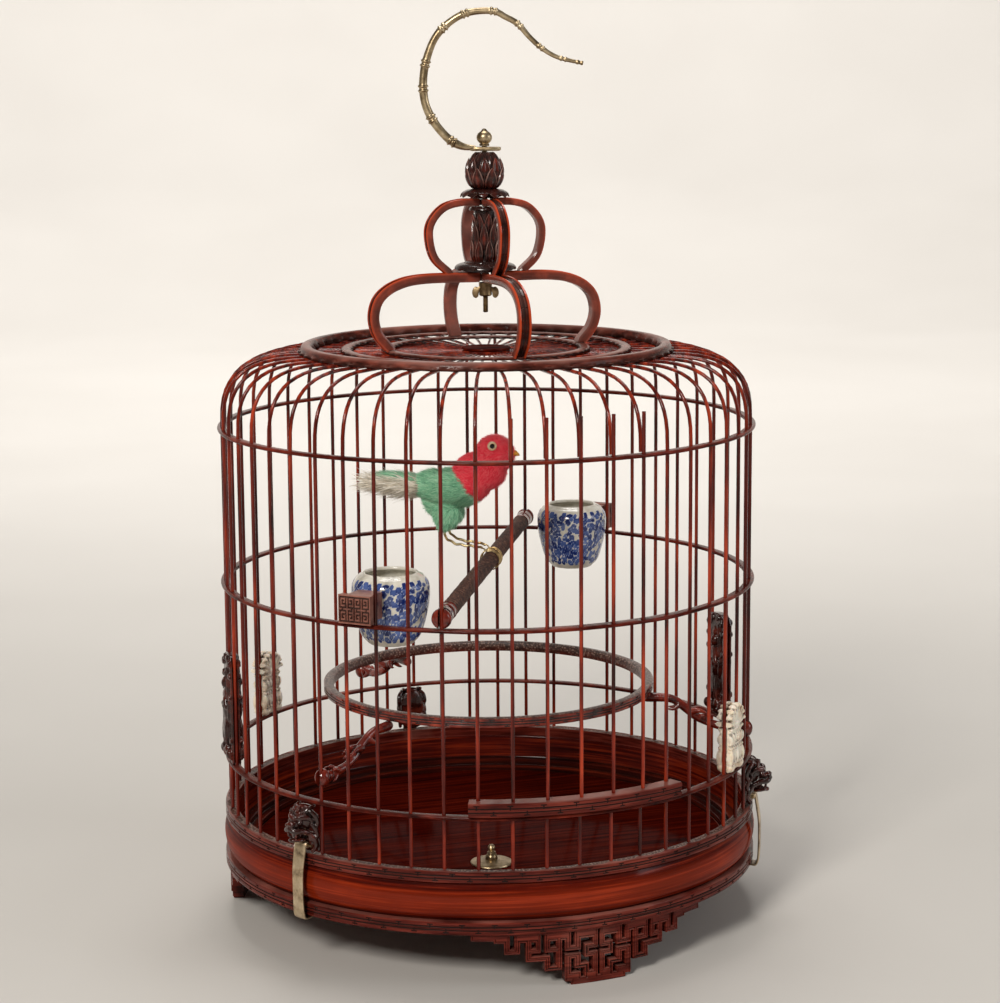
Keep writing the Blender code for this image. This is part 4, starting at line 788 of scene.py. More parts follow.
# Half a foot's fretwork up to its middle slot: widths and heights of its cells, and which cells are solid
FRET_WIDTHS = (10.0, 4.5, 2.5, 2.0, 2.5, 2.5, 2.5, 2.0, 2.1, 1.7, 2.5, 2.7, 2.7, 1.3, 2.8, 1.7, 2.8, 1.8, 2.0,
               2.0, 2.2)
FRET_HEIGHTS = (0.6, 0.6, 1.6, 1.0, 2.8, 2.2, 1.4, 2.2, 2.6, 2.0, 1.6, 2.4, 1.5, 1.6)
FRET_SLOT = 1.2
FRET_HALF = (
    "#####################",
    "###.#####.#####.#####",
    "###.#####.#####.#####",
    ".##.#####.#####.#####",
    "..#.#.#.#.#.#.#.#...#",
    "..###.###.###.###.###",
    "......#.....#.....#..",
    "......#####.#.###.###",
    "..........#.#.#.#...#",
    "..........###.#.###.#",
    "..............#...#.#",
    "..............###.###",
    "..............#######",
    "...............######",
)
FRET_MIDDLE = "#...........##"
RELIEF_STEPS = (0.0, 0.15, 0.55, 0.72, 0.92)


def cell_steps(size):
    """Places across a cell where the ribbon's relief changes."""
    steps = [step for step in RELIEF_STEPS if step < size / 2 - 0.08]
    return steps + [size - step for step in reversed(steps)]


def ribbon_relief(distance):
    """Depth below the face and painted shade, from the distance to the ribbon's edge; the shade is darkest in
    the groove.
    """
    for limit, depth, dark in ((0.1, 0.3, 0.2), (0.6, 0.0, 0.0), (0.85, 0.6, 1.0)):
        if distance < limit:
            return depth, dark
    return 0.1, 0.0


def fretwork(name, rows, widths, heights, put, depth, material):
    """Ribbons on a grid of solid cells, with a raised edge, a groove and a bead; put places (x, y, depth)."""
    lefts = [sum(widths[:k]) for k in range(len(widths))]
    tops = [sum(heights[:k]) for k in range(len(heights))]
    points = []
    carving = []
    faces = []
    known = {}

    def solid(column, row):
        """Whether a cell is solid."""
        return 0 <= row < len(rows) and 0 <= column < len(widths) and rows[row][column] == "#"

    def edge_distance(x, y, column, row):
        """Distance from a point in a cell to the nearest opening, along the grid's axes."""
        near = [max(sx, sy) for dc, sx in ((-1, x), (0, 0.0), (1, widths[column] - x))
                for dr, sy in ((-1, y), (0, 0.0), (1, heights[row] - y))
                if (dc or dr) and not solid(column + dc, row + dr)]
        return min(near, default=10.0)

    def vertex(x, y, front):
        """Number of a point of the cell in hand, made once."""
        key = (round((lefts[column] + x) * 1000), round((tops[row] + y) * 1000), front)
        if key not in known:
            # Painted shade from the relief on the face, and a steady painted shade on the back and sides
            sunk, dark = ribbon_relief(edge_distance(x, y, column, row)) if front else (depth, 0.6)
            known[key] = len(points)
            points.append(put(lefts[column] + x, tops[row] + y, sunk))
            carving.append(dark)
        return known[key]

    for row in range(len(rows)):
        for column in range(len(widths)):
            if not solid(column, row):
                continue
            xs, ys = cell_steps(widths[column]), cell_steps(heights[row])
            faces += [[vertex(x, y, front) for x, y in ((xa, ya), (xa, yb), (xb, yb), (xb, ya))]
                      for front in (True, False) for xa, xb in zip(xs, xs[1:]) for ya, yb in zip(ys, ys[1:])]
            for dc, dr, line in ((0, -1, [(x, 0.0) for x in xs]), (1, 0, [(widths[column], y) for y in ys]),
                                 (0, 1, [(x, heights[row]) for x in xs[::-1]]),
                                 (-1, 0, [(0.0, y) for y in ys[::-1]])):
                if not solid(column + dc, row + dr):
                    faces += [[vertex(*a, True), vertex(*b, True), vertex(*b, False), vertex(*a, False)]
                              for a, b in zip(line, line[1:])]
    return crease(outward(add_mesh(name, points, faces, material, carving=carving)), 25.0)


def make_feet():
    """Three fretwork feet bent to the rim's curve, each mirrored about its middle slot."""
    outer, inner = 120.4, 115.4
    span = math.radians(53.0) * outer
    widths = [*FRET_WIDTHS, FRET_SLOT, *FRET_WIDTHS[::-1]]
    widths = [width * span / sum(widths) for width in widths]
    heights = [height * FOOT_TOP / sum(FRET_HEIGHTS) for height in FRET_HEIGHTS]
    rows = [half + middle + half[::-1] for half, middle in zip(FRET_HALF, FRET_MIDDLE)]

    def put(x, y, depth):
        """Point on the foot's bent face."""
        return spot(outer - min(depth, outer - inner), math.degrees((x - span / 2) / outer), FOOT_TOP - y)

    foot = fretwork("foot_fret", rows, widths, heights, put, outer - inner, CARVED_LACQUER)
    for name, angle in (("foot_left", -116.0), ("foot_front", 4.0), ("foot_right", 124.0)):
        fit(copy_of(foot, name + "_fret", rotated(angle)), "cage", "carved_wood", name)
    remove(foot)


# Bars, hoops and roof
def bar_route(foot):
    """Centre line of a bar at the door's middle, from its foot to the roof's hub."""
    route = [(spot(BAR_CIRCLE, 0.0, z), 1.0) for z in (foot, 118.0, 190.0)]
    for step in range(13):
        bend = math.radians(90) * step / 12
        radius = BAR_CIRCLE - BEND_REACH * (1 - max(math.cos(bend), 0.0) ** 0.714)
        route.append((spot(radius, 0.0, BEND_Z + BEND_RISE * math.sin(bend) ** 0.714),
                      1.0 - 0.05 * step / 12))
    for share in (0.3, 0.6, 0.85, 1.0):
        radius = (BAR_CIRCLE - BEND_REACH) * (1 - share) + HUB_RADIUS * share
        route.append((spot(radius, 0.0, ROOF_Z), 0.95 - 0.4 * share))
    return route


def make_bars():
    """Bars round the cage: full ones, the short ones over the clasps, and those over the door."""
    full = bar_route(BAR_FOOT)
    short = bar_route(SHORT_FOOT)
    over_door = bar_route(BEND_Z)[3:]
    parts = []
    for route, first, count in ((full, 3, 6), (full, 10, 16), (full, 27, 16), (short, -9, 1), (short, 9, 1),
                                (short, 26, 1), (full, -8, 6), (over_door, -2, 5)):
        parts.append(repeat(rods("bars", [route], BAR_RADIUS, BAR_LACQUER, 10), BAR_LACQUER, count,
                            first * PITCH, PITCH))
    hub = [(0.0, BAR_RADIUS), (HUB_RADIUS, BAR_RADIUS), (HUB_RADIUS, -BAR_RADIUS), (0.0, -BAR_RADIUS)]
    parts.append(turned("hub", hub, 52, BAR_LACQUER, low=ROOF_Z))
    fit(join("bars", *parts), "cage", "bamboo", "bars_front", "bars_right", "bars_back", "bars_left")


def hoop_section(z, angle):
    """Section of a hoop of split bamboo, rounded on its edges, and wider where the door's uprights pass."""
    half = HOOP_HEIGHT / 2
    r = 0.6
    away = abs((angle + 180) % 360 - 180)
    edge = HOOP_OUTER - 1.6 * ease((away - 18) / 14)
    section = []
    for cx, cz, corner in ((edge - r, z - half + r, -90), (edge - r, z + half - r, 0),
                           (HOOP_INNER + r, z + half - r, 90), (HOOP_INNER + r, z - half + r, 180)):
        for bend in (math.radians(corner + 30 * k) for k in range(4)):
            section.append(spot(cx + r * math.cos(bend), angle, cz + r * math.sin(bend)))
    return section


def make_hoops():
    """Three hoops; the two upper ones have a hole for each of the door's uprights."""
    door = [k * PITCH for k in DOOR_BARS]
    for name, z in HOOPS.items():
        hoop = loft(name + "_bent", [hoop_section(z, 360 * step / 208) for step in range(208)], HOOP_LACQUER,
                    closed=True)
        if name == "lower_hoop":
            hoop = join(hoop.name, hoop,
                        posts("stubs", door, BAR_CIRCLE, (BAR_FOOT, z), BAR_RADIUS, BAR_LACQUER, 10))
        else:
            cut(hoop, posts("door_holes", door, DOOR_CIRCLE, (z - 4.0, z + 4.0), BAR_RADIUS + 0.2,
                            CARVED_LACQUER))
        fit(hoop, "cage", "carved_wood", name)


# Roof rings: radius, width, low side, height, and the section's points as shares of half the width, the tooth
# and the height, with their painted shade, darkest low on the ring
OUTER_TEETH = ((0.92, 1, 0.30, 0.9), (1.04, 1, 0.48, 0.6), (1.04, 0, 0.52, 0.5), (1, 0, 0.72, 0.0),
               (0.80, 0, 0.94, 0.0), (0.45, 0, 1.0, 0.0), (-0.45, 0, 1.0, 0.0), (-0.80, 0, 0.92, 0.0),
               (-1, 0, 0.7, 0.3), (-1, -1, 0.5, 0.7), (-1, -1, 0.3, 1.0))
INNER_TEETH = ((1, 0.4, 0.0, 1.0), (1, 0.4, 0.4, 0.7), (1, 0, 0.7, 0.1), (0.7, 0, 0.96, 0.0),
               (0.3, 0, 1.0, 0.0), (-0.3, 0, 1.0, 0.0), (-0.7, 0, 0.94, 0.0), (-1, 0, 0.62, 0.4),
               (-1, -1, 0.34, 0.9), (-1, -1, 0.0, 1.0))
ROOF_RINGS = {"roof_ring_outer": (80.8, 5.0, 256.0, 5.2, OUTER_TEETH),
              "roof_ring_middle": (63.0, 4.2, ROOF_TOP, 1.3, INNER_TEETH),
              "roof_ring_inner": (44.5, 4.2, ROOF_TOP, 1.3, INNER_TEETH)}


def make_roof():
    """Rings laid over the roof's bars, with their edges cut in teeth, and the red disc in the middle."""
    steps = BARS * 8
    for name, (radius, width, low, height, teeth) in ROOF_RINGS.items():
        sections = []
        for angle in (360 * step / steps for step in range(steps)):
            tooth = 1.3 * (1 - abs(math.sin(math.radians(angle) * BARS / 2))) ** 1.5
            sections.append([spot(radius + half * width / 2 + cut_in * tooth, angle, low + rise * height)
                             for half, cut_in, rise, dark in teeth])
        # Painted shade on the lower part of each ring
        ring = loft(name + "_toothed", sections, ROOF_LACQUER, closed=True,
                    carving=[dark for half, cut_in, rise, dark in teeth] * steps)
        fit(crease(ring, 60.0), "cage", "carved_wood", name)
    disc = turned("roof_disc_turned",
                  [(0.0, 1.1), (6.0, 1.1), (7.0, 0.8), (10.0, 1.0), (10.8, 0.8), (11.0, 0.3), (11.0, 0.0),
                   (0.0, 0.0)], 96, FLOOR_LACQUER, low=ROOF_TOP)
    fit(disc, "cage", "lacquered_wood", "roof_disc")


def make_door():
    """Door rail with the key border and its five uprights."""
    edge = 0.5
    near_edge = 0.2
    half_angle = 22.6
    units = 7
    length = math.radians(2 * half_angle) * RAIL_OUTER
    unit = length / units
    cuts, places, rises = key_places(unit, RAIL_HEIGHT - 2 * edge)
    top = RAIL_Z + RAIL_HEIGHT
    along = [k * unit + place for k in range(units) for place in places] + [length]
    stations = [(-half_angle + 2 * half_angle * station / length, station % unit) for station in along]
    rest = [(RAIL_OUTER - near_edge, top - near_edge), (RAIL_OUTER - edge, top), (RAIL_INNER + edge, top),
            (RAIL_INNER, top - edge), (RAIL_INNER, RAIL_Z + edge), (RAIL_INNER + edge, RAIL_Z),
            (RAIL_OUTER - edge, RAIL_Z), (RAIL_OUTER - near_edge, RAIL_Z + near_edge)]
    rail = keyed("door_rail", stations, cuts, rises, RAIL_OUTER, RAIL_Z + edge, rest, CARVED_LACQUER, False)
    cut(rail, posts("guide_holes", (-3 * PITCH, 3 * PITCH), BAR_CIRCLE, (RAIL_Z - 3.0, top + 3.0),
                    BAR_RADIUS + 0.25, CARVED_LACQUER, 14))
    fit(crease(rail), "door", "carved_wood", "door")
    fit(posts("door_uprights", [k * PITCH for k in DOOR_BARS], DOOR_CIRCLE, (top - 1.0, 160.0, 243.0),
              BAR_RADIUS, BAR_LACQUER, 10), "door", "bamboo")


def mirrored(rows):
    """Rows of a section, and the same rows on its other side."""
    return [*rows, *((-row[0], *row[1:]) for row in rows[::-1])]


# Arches: shares of reach and rise along the bend; reach, rise, the foot's height, width and thickness
ARCHES = {
    "arch": (((0.86, 0.0), (0.965, 0.22), (1.0, 0.48), (0.95, 0.74), (0.80, 0.92), (0.56, 1.0), (0.067, 1.0)),
             52.5, 30.85, 259.6, 6.0, 4.2),
    "crown_arch": (((0.65, 0.0), (0.91, 0.22), (1.0, 0.52), (0.95, 0.74), (0.74, 0.93), (0.45, 1.0),
                    (0.12, 1.0)),
                   26.5, 31.0, 292.85, 5.0, 3.2),
}
# An arch's section: shares of half its width and thickness; painted shade, painted highlight, and a greyness
# that is wear and painted highlight
ARCH_SECTION = mirrored([
    (-1, -0.5, 0, 0.05, 0.1), (-1, 0.45, 0, 0.15, 0.1), (-0.93, 0.82, 0, 0.5, 0.2), (-0.78, 1, 0, 1, 0),
    (-0.60, 0.93, 0.1, 0.6, 0), (-0.50, 0.62, 0.85, 0, 0), (-0.20, 0.60, 0.55, 0, 0),
    (-0.13, 0.48, 0.9, 0, 0),
]) + [(0.8, -1, 0.1, 0.1, 0.3), (-0.8, -1, 0.1, 0.1, 0.3)]


def make_arches():
    """Bent arches: two rounded edges with a painted orange-red highlight, with the key border sunk between
    them in painted shade.
    """
    unit = 5.2
    for name, (shares, reach, rise, foot, width, thickness) in ARCHES.items():
        path = through([(x * reach, z * rise + foot) for x, z in shares], 24)
        lengths = walked(path)
        stations = [(length, 0) for length in lengths]
        for k in range(int(lengths[-1] / unit) + 1):
            stations += [(unit * (k + 0.5) + offset, mark)
                         for offset, mark in ((-0.2, 0), (-0.13, 1), (0.13, 1), (0.2, 0))]
        sections = []
        carving = []
        for station, mark in sorted(station for station in stations if station[0] <= lengths[-1]):
            k = min(max(i for i, length in enumerate(lengths) if length <= station + 0.000001),
                    len(lengths) - 2)
            point = path[k].lerp(path[k + 1], (station - lengths[k]) / (lengths[k + 1] - lengths[k]))
            along = ((path[min(k + 2, len(path) - 1)] - path[max(k - 1, 0)]).normalized()
                     if k else Vector((0.0, 1.0)))
            section = []
            for u, v, dark, *_ in ARCH_SECTION:
                sunk = mark if 0.3 < abs(u) < 0.55 else 0
                place = point + Vector((along.y, -along.x)) * (v - 0.18 * sunk) * thickness / 2
                section.append(Vector((place.x, u * width / 2, place.y)))
                # Painted shade in the sunk marks and along the middle groove
                carving.append(1.0 if sunk else dark)
            sections.append(section)
        for side, angle in (("front", 0), ("right", 90), ("back", 180), ("left", 270)):
            arch = loft(f"{name}_{side}_carved",
                        [[rotated(angle - 90) @ point for point in section] for section in sections],
                        ARCH_LACQUER, carving=carving, glow=[row[3] for row in ARCH_SECTION] * len(sections),
                        pale=[row[4] for row in ARCH_SECTION] * len(sections))
            fit(arch, "cage", "carved_wood", f"{name}_{side}")


# Carved petals on the rod: share of half the petal's width, relief and painted shade
PETAL_SECTION = mirrored([(-1.0, 0.0, 0.7), (-0.86, 0.45, 0.0), (-0.66, 0.0, 0.75), (-0.34, -0.2, 0.45),
                          (-0.08, 0.15, 0.1)])
BORE_RADIUS = 1.35


def petal_tier(low, corners, half_width, count, first, material, blunt=2.0, bulge=0.7, tip=0.9):
    """One tier of petals round the axis, each on a path of (radius, height), repeated by the round tree."""
    path = through([(radius, low + height) for radius, height in corners], 5)
    thick = 0.6
    sections = []
    carving = []
    pale = []
    for k, point in enumerate(path):
        share = k / (len(path) - 1)
        narrow = max(1 - share ** blunt, 0.0) ** (0.55 if blunt > 3 else 0.85)
        width = half_width * (0.5 + 0.5 * ease(share * 2.2)) * narrow + 0.12
        along = heading(path, k)
        out = Vector((along.y, -along.x))
        fade = min(1.0, width / half_width * 1.6)
        lowered = point - out * thick * fade
        outer = []
        inner = []
        for v, height, dark in PETAL_SECTION:
            angle = math.degrees(v * width / max(point.x, 2.0))
            raised = point + out * (height + bulge * (1 - v * v)) * fade
            outer.append(spot(raised.x, angle, raised.y))
            inner.append(spot(lowered.x, angle * 0.96, lowered.y))
            # Painted shade, deepest at the petal's foot, and wear with painted highlight along its tip's
            # edges
            carving.append(min(1.0, dark + 0.55 * (1 - share)))
            pale.append(ease(share * 1.5 - 0.2) * tip * (1.0 if abs(v) > 0.8 else 0.05))
        sections.append(outer + inner[::-1])
        # Painted shade on the petal's inner face
        carving += [0.8] * len(inner)
        pale += [0.0] * len(inner)
    return repeat(loft("petals", sections, material, carving=carving, pale=pale), material, count, first,
                  360 / count)


# Height of each piece's foot, its core's profile and painted shade, and its tiers of petals for petal_tier
LOTUS = {
    "petal_disc_lower": (292.9, [(8.5, 3.6), (11.2, 2.4), (10.8, 0.3), (8.0, 0.0)], 0.8, [
        ([(6.0, 3.6), (10.0, 3.4), (12.8, 2.4), (13.4, 0.8)], 3.4, 12, 9.0, DARK_CARVING, 7.0, 1.6),
        ([(4.0, 3.8), (7.0, 4.2), (9.2, 3.6)], 2.6, 12, 24.0, DARK_CARVING, 5.0, 0.6)]),
    "petal_disc_upper": (325.8, [(5.2, 3.3), (7.6, 2.4), (8.8, 1.0), (6.0, 0.0)], 0.5, [
        ([(4.0, 3.4), (7.4, 3.1), (9.8, 1.9), (11.0, 0.2)], 3.1, 12, 9.0, PETAL_LACQUER, 2.4, 0.5)]),
    "lotus_column": (297.05, [(4.6, 24.9), (5.0, 23.6), (4.3, 19.0), (4.4, 12.0), (4.8, 4.0), (5.2, 0.0)],
                     0.8, [
        ([(5.2, 0.5), (6.2, 3.5), (6.0, 7.0), (6.4, 10.0)], 2.5, 8, 0.0, PETAL_LACQUER, 1.5),
        ([(4.8, 6.0), (5.5, 10.0), (5.4, 14.0), (6.2, 17.5)], 2.5, 8, 22.5, PETAL_LACQUER, 1.6, 0.7, 0.6),
        ([(4.4, 14.0), (4.9, 18.0), (6.0, 21.8)], 2.1, 8, 0.0, PETAL_LACQUER, 1.8, 0.7, 0.5),
        ([(4.6, 23.8), (6.0, 24.2), (6.6, 23.0)], 2.1, 10, 9.0, DARK_CARVING, 6.0)]),
    "lotus_bud": (329.55, [(3.4, 16.4), (5.8, 14.0), (7.4, 9.5), (7.6, 6.0), (6.0, 1.8), (4.2, 0.0)], 0.8, [
        ([(4.4, 0.3), (6.7, 2.2), (8.0, 5.0), (8.3, 7.5), (8.8, 9.6)], 3.6, 8, 4.0, PETAL_LACQUER, 1.5),
        ([(7.4, 5.0), (7.9, 8.0), (7.4, 11.2), (6.8, 14.0)], 3.3, 8, 26.5, PETAL_LACQUER, 1.6, 0.7, 0.5),
        ([(7.2, 9.0), (6.6, 11.8), (5.2, 14.5), (4.0, 16.5)], 2.8, 8, 4.0, DARK_CARVING, 2.0, 0.7, 0.3)]),
}


def make_lotus():
    """Discs, column and bud on the rod: a bored core each, with tiers of petals round it."""
    for name, (low, profile, dark, tiers) in LOTUS.items():
        loop = [(BORE_RADIUS, profile[0][1]), *profile, (BORE_RADIUS, profile[-1][1])]
        # Painted shade on each core, which lies under its petals
        parts = [turned("core", loop, 48, DARK_CARVING, True, low, carving=[dark] * len(loop))]
        parts += [petal_tier(low, *tier) for tier in tiers]
        if name == "lotus_bud":
            parts.append(turned("collar",
                                [(BORE_RADIUS, 2.2), (4.8, 1.6), (5.2, 0.8), (4.8, 0.0), (BORE_RADIUS, 0.0)],
                                48, DARK_CARVING, True, low))
        fit(join(name + "_carved", *parts), "cage", "carved_wood", name)


# Metal on the rod
def slab(name, outline, thickness, matrix, material, edge):
    """Flat piece from an outline, with both faces' edges rounded."""
    outline = [Vector((x, y, 0.0)) for x, y in outline]
    if sum(a.x * b.y - b.x * a.y for a, b in zip(outline, outline[1:] + outline[:1])) < 0:
        outline = outline[::-1]
    half = thickness / 2
    sections = []
    for inset, z in ((edge, -half), (edge * 0.3, -half + edge * 0.3), (0.0, -half + edge), (0.0, half - edge),
                     (edge * 0.3, half - edge * 0.3), (edge, half)):
        loop = []
        for k, point in enumerate(outline):
            along = (outline[(k + 1) % len(outline)] - outline[k - 1]).normalized()
            loop.append(matrix @ (point - Vector((along.y, -along.x, 0.0)) * inset + Vector((0.0, 0.0, z))))
        sections.append(loop)
    return loft(name, sections, material)


WING = ((1.8, 4.0), (3.4, 3.0), (4.6, 3.2), (5.7, 2.0), (6.0, 0.2), (5.4, -1.4), (4.2, -1.9), (3.3, -1.2),
        (3.0, 0.2), (2.6, 1.2), (1.8, 1.4))


def make_rod():
    """Threaded rod, the wing nut under the arches and the acorn nut over the hook."""
    threads = [(radius, 0.3 + 0.44 * k + rise) for k in range(28)
               for radius, rise in ((1.2, 0.0), (1.02, 0.22))]
    profile = [(0.0, 0.0), (0.8, 0.0), *threads, (1.15, 12.62), (1.15, 79.7), (0.0, 79.7)]
    fit(turned("rod_threaded", profile, 20, DARK_BRASS, low=274.55), "cage", "brass", "rod")
    low = 281.85
    nut = [turned("nut_hub",
                  [(BORE_RADIUS, 0.0), (2.3, 0.0), (2.9, 0.6), (2.6, 3.6), (3.0, 4.8), (3.0, 6.0), (2.6, 6.2),
                   (BORE_RADIUS, 6.2)], 40, DARK_BRASS, True, low)]
    for side in (0, 180):
        place = moved(0.0, 0.0, low + 1.0) @ rotated(side + PHOTO_TURN) @ rotated(90, "X")
        nut.append(slab("nut_wing", through(WING, 3), 1.5, place, DARK_BRASS, 0.4))
    fit(join("wing_nut_cast", *nut), "cage", "brass", "wing_nut")
    ball = [(3.5 * math.sin(math.radians(turn)), 3.7 - 3.1 * math.cos(math.radians(turn)))
            for turn in range(32, 161, 12)]
    profile = [(BORE_RADIUS, 0.0), (2.2, 0.0), (2.3, 0.6), *ball, (1.2, 7.0), (0.6, 7.6), (0.0, 7.7)]
    # Painted shade at the nut's foot; its tip is darker too
    fit(turned("acorn_nut_turned", profile, 48, BRASS, low=348.65,
               carving=[0.6, 0.6, 0.9] + [0.0] * (len(ball) - 1) + [0.5, 0.9, 0.9, 0.9]), "cage", "brass",
        "acorn_nut")


HOOK_PATH = ((-4.0, 0.3), (-9.6, 1.1), (-14.7, 3.6), (-19.2, 7.9), (-23.2, 13.4), (-26.0, 19.9),
             (-26.9, 26.7), (-26.6, 32.9), (-25.2, 39.7), (-22.0, 47.7), (-17.5, 53.3), (-10.7, 58.1),
             (-4.0, 60.0), (4.5, 60.1), (9.6, 57.7), (15.2, 54.5), (20.3, 48.8), (25.4, 44.2),
             (31.1, 40.6), (36.7, 38.8), (44.0, 37.2))
HOOK_NODES = ((-14.2, 3.2), (-23.2, 13.4), (-26.9, 26.7), (-25.7, 37.6), (-17.8, 53.0), (-8.2, 59.2),
              (4.5, 60.1), (15.8, 54.0), (25.2, 44.4), (35.2, 39.2), (42.6, 37.4))


def make_hook():
    """Brass hook cast as a cane with double rings at its nodes, on its flat tang."""
    place = moved(0.0, 0.0, 347.35) @ rotated(PHOTO_TURN)
    path = through([(x, 0.0, z) for x, z in HOOK_PATH], 30)
    lengths = walked(path)
    rings = [lengths[min(range(len(path)), key=lambda k: (path[k] - Vector((x, 0.0, z))).length)]
             for x, z in HOOK_NODES]
    route = []
    for point, length in zip(path, lengths):
        share = length / lengths[-1]
        radius = 1.85 * (1 - 0.60 * share ** 2.2) * (0.62 + 0.38 * ease(share * 14))
        for away in (abs(length - ring) for ring in rings):
            radius *= ((1 + 0.30 * bell(away - 1.0, 0.45) - 0.05 * bell(away, 0.4))
                       * (1 + 0.06 * bell(away, 4.0)))
        route.append((place @ point, radius))
    outline = []
    for k in range(48):
        c, s = math.cos(2 * math.pi * k / 48), math.sin(2 * math.pi * k / 48)
        outline.append((7.0 * math.copysign(abs(c) ** 0.55, c) + 0.4, 3.1 * math.copysign(abs(s) ** 0.8, s)))
    tang = slab("hook_tang", outline, 1.8, place, BRASS, 0.6)
    cut(tang, turned("tang_bore", [(0.0, 340.0), (1.5, 340.0), (1.5, 355.0), (0.0, 355.0)], 24, BRASS))
    fit(join("hook_cast", tang, rods("hook_cane", [route], 1.0, BRASS, 20)), "hook", "brass", "hook")


# Sculpted pieces: ellipsoids under one skin
def unit_ball():
    """Points and faces of a round ball with a radius of one."""
    work = bmesh.new()
    bmesh.ops.create_uvsphere(work, u_segments=14, v_segments=9, radius=1.0)
    points = [vert.co.copy() for vert in work.verts]
    faces = [[vert.index for vert in face.verts] for face in work.faces]
    work.free()
    return points, faces


BALL_POINTS, BALL_FACES = unit_ball()


def lump(x, y, z, a, b, c, *turns):
    """Ellipsoid as a matrix: its place, its radii and its turns about X, Y and Z."""
    matrix = moved(x, y, z)
    for axis, degrees in zip("XYZ", turns):
        matrix = matrix @ rotated(degrees, axis)
    return matrix @ Matrix.Diagonal((a, b, c, 1.0))


def lumps_of(rows, side=1):
    """Ellipsoids from rows, on one side of the middle."""
    return [lump(x, side * y, z, *rest) for x, y, z, *rest in rows]


def bead(place, radius, side=1):
    """Round lump, on one side of the middle."""
    return lump(place[0], side * place[1], place[2], radius, radius, radius)


def thorn(start_at, end_at, radius, bend, side=1):
    """Lumps that taper from a start to a pointed end, for leaves."""
    return [bead(Vector(start_at).lerp(Vector(end_at), share) + Vector(bend) * math.sin(share * math.pi),
                 radius * (1.15 - 0.92 * share), side) for share in (k / 8 for k in range(9))]


def curl(x, y, z, size, side, turns=1.3, thick=0.42):
    """Lumps along a spiral, for a curl."""
    result = []
    steps = int(turns * 9)
    for share in (k / steps for k in range(steps)):
        angle = share * turns * 2 * math.pi
        reach = size * (1 - 0.8 * share)
        result.append(bead((x + 0.25 * size * share, y + reach * math.cos(angle) * side,
                            z + reach * math.sin(angle)),
                           size * thick * (1 - 0.35 * share)))
    return result


def strand(corners, radii, side):
    """Lumps close together along a curve, thick or thin by the given radii."""
    path = through(corners, 5)
    result = []
    for k, point in enumerate(path):
        place = k / (len(path) - 1) * (len(radii) - 1)
        first = min(int(place), len(radii) - 2)
        result.append(bead(point, radii[first] + (radii[first + 1] - radii[first]) * (place - first), side))
    return result


def trim(thing, place, normal):
    """Cuts off all that lies beyond a plane, and closes the cut."""
    work = bmesh.new()
    work.from_mesh(thing.data)
    bmesh.ops.bisect_plane(work, geom=work.verts[:] + work.edges[:] + work.faces[:],
                           plane_co=Vector(place) * MM, plane_no=normal, clear_outer=True)
    bmesh.ops.holes_fill(work, edges=[edge for edge in work.edges if edge.is_boundary], sides=0)
    work.to_mesh(thing.data)
    work.free()


def hollow(thing, reach):
    """Stores how hemmed in each point is, as the carving value: painted shade in the hollows."""
    mesh = thing.data
    tree = BVHTree.FromPolygons([vert.co for vert in mesh.vertices],
                                [tuple(face.vertices) for face in mesh.polygons])
    values = []
    for vert in mesh.vertices:
        normal = vert.normal
        side = normal.orthogonal().normalized()
        other = normal.cross(side)
        ways = [(normal + side * a + other * b).normalized() for a, b in
                ((0.0, 0.0), (1.1, 0.0), (-1.1, 0.0), (0.0, 1.1), (0.0, -1.1), (0.8, 0.8), (-0.8, -0.8))]
        hits = sum(tree.ray_cast(vert.co + normal * 0.04 * MM, way, reach)[0] is not None for way in ways)
        values.append(min(1.0, hits / 4))
    for name in ("carving", "dust"):
        if name in mesh.attributes:
            mesh.attributes.remove(mesh.attributes[name])
    mesh.attributes.new("carving", "FLOAT", "POINT").data.foreach_set("value", values)


def sculpt(name, lumps, voxel, material, smooth, extra=(), cuts=(), trims=()):
    """One skin over all lumps and extra meshes, less the cuts, with painted shade in its hollows."""
    points = []
    faces = []
    for matrix in lumps:
        faces += [[len(points) + k for k in face] for face in BALL_FACES]
        points += [matrix @ point for point in BALL_POINTS]
    thing = add_mesh(name, points, faces)
    if extra:
        join(name, thing, *extra)
    change = thing.modifiers.new("skin", "REMESH")
    change.mode = "VOXEL"
    change.voxel_size = voxel * MM
    change.use_smooth_shade = True
    soft = thing.modifiers.new("soft", "SMOOTH")
    soft.iterations = smooth
    soft.factor = 0.5
    settle(thing)
    for size, matrix in cuts:
        cut(thing, add_box(size, matrix))
    for place, normal in trims:
        trim(thing, place, normal)
    paint(thing, material)
    # Painted shade in the hollows
    hollow(thing, voxel * 5 * MM)
    return crease(thing, 50.0)


def paint(thing, material):
    """Gives a whole mesh one finish."""
    thing.data.materials.clear()
    thing.data.materials.append(material)
    return thing


# The lion's head from its back on the rim outwards: skull, snout and jaws; then the eyes, nostrils and fangs
HEAD = ((2.4, 0, 11.0, 2.6, 6.4, 9.6), (1.6, 0, 5.0, 1.8, 6.8, 5.0), (4.6, 0, 14.4, 4.2, 5.2, 5.0),
        (8.8, 0, 13.0, 3.6, 2.5, 1.8, 0, -6), (12.0, 0, 13.8, 1.5, 2.1, 1.3),
        (7.6, 0, 6.2, 4.2, 3.2, 1.1, 0, -6), (11.3, 0, 6.6, 1.2, 2.0, 1.0), (6.4, 0, 7.6, 3.4, 1.5, 0.8),
        (6.6, 0, 19.0, 1.6, 1.0, 1.7), (3.4, 0, 19.8, 2.6, 3.4, 1.3))
HEAD_SIDES = ((9.1, 2.7, 14.4, 1.3, 1.25, 1.15), (12.5, 1.4, 13.6, 1.0, 1.0, 0.9),
              (11.0, 2.2, 9.2, 0.55, 0.55, 1.5), (9.0, 2.9, 9.2, 0.5, 0.5, 0.9),
              (10.4, 1.6, 7.6, 0.45, 0.45, 1.0))
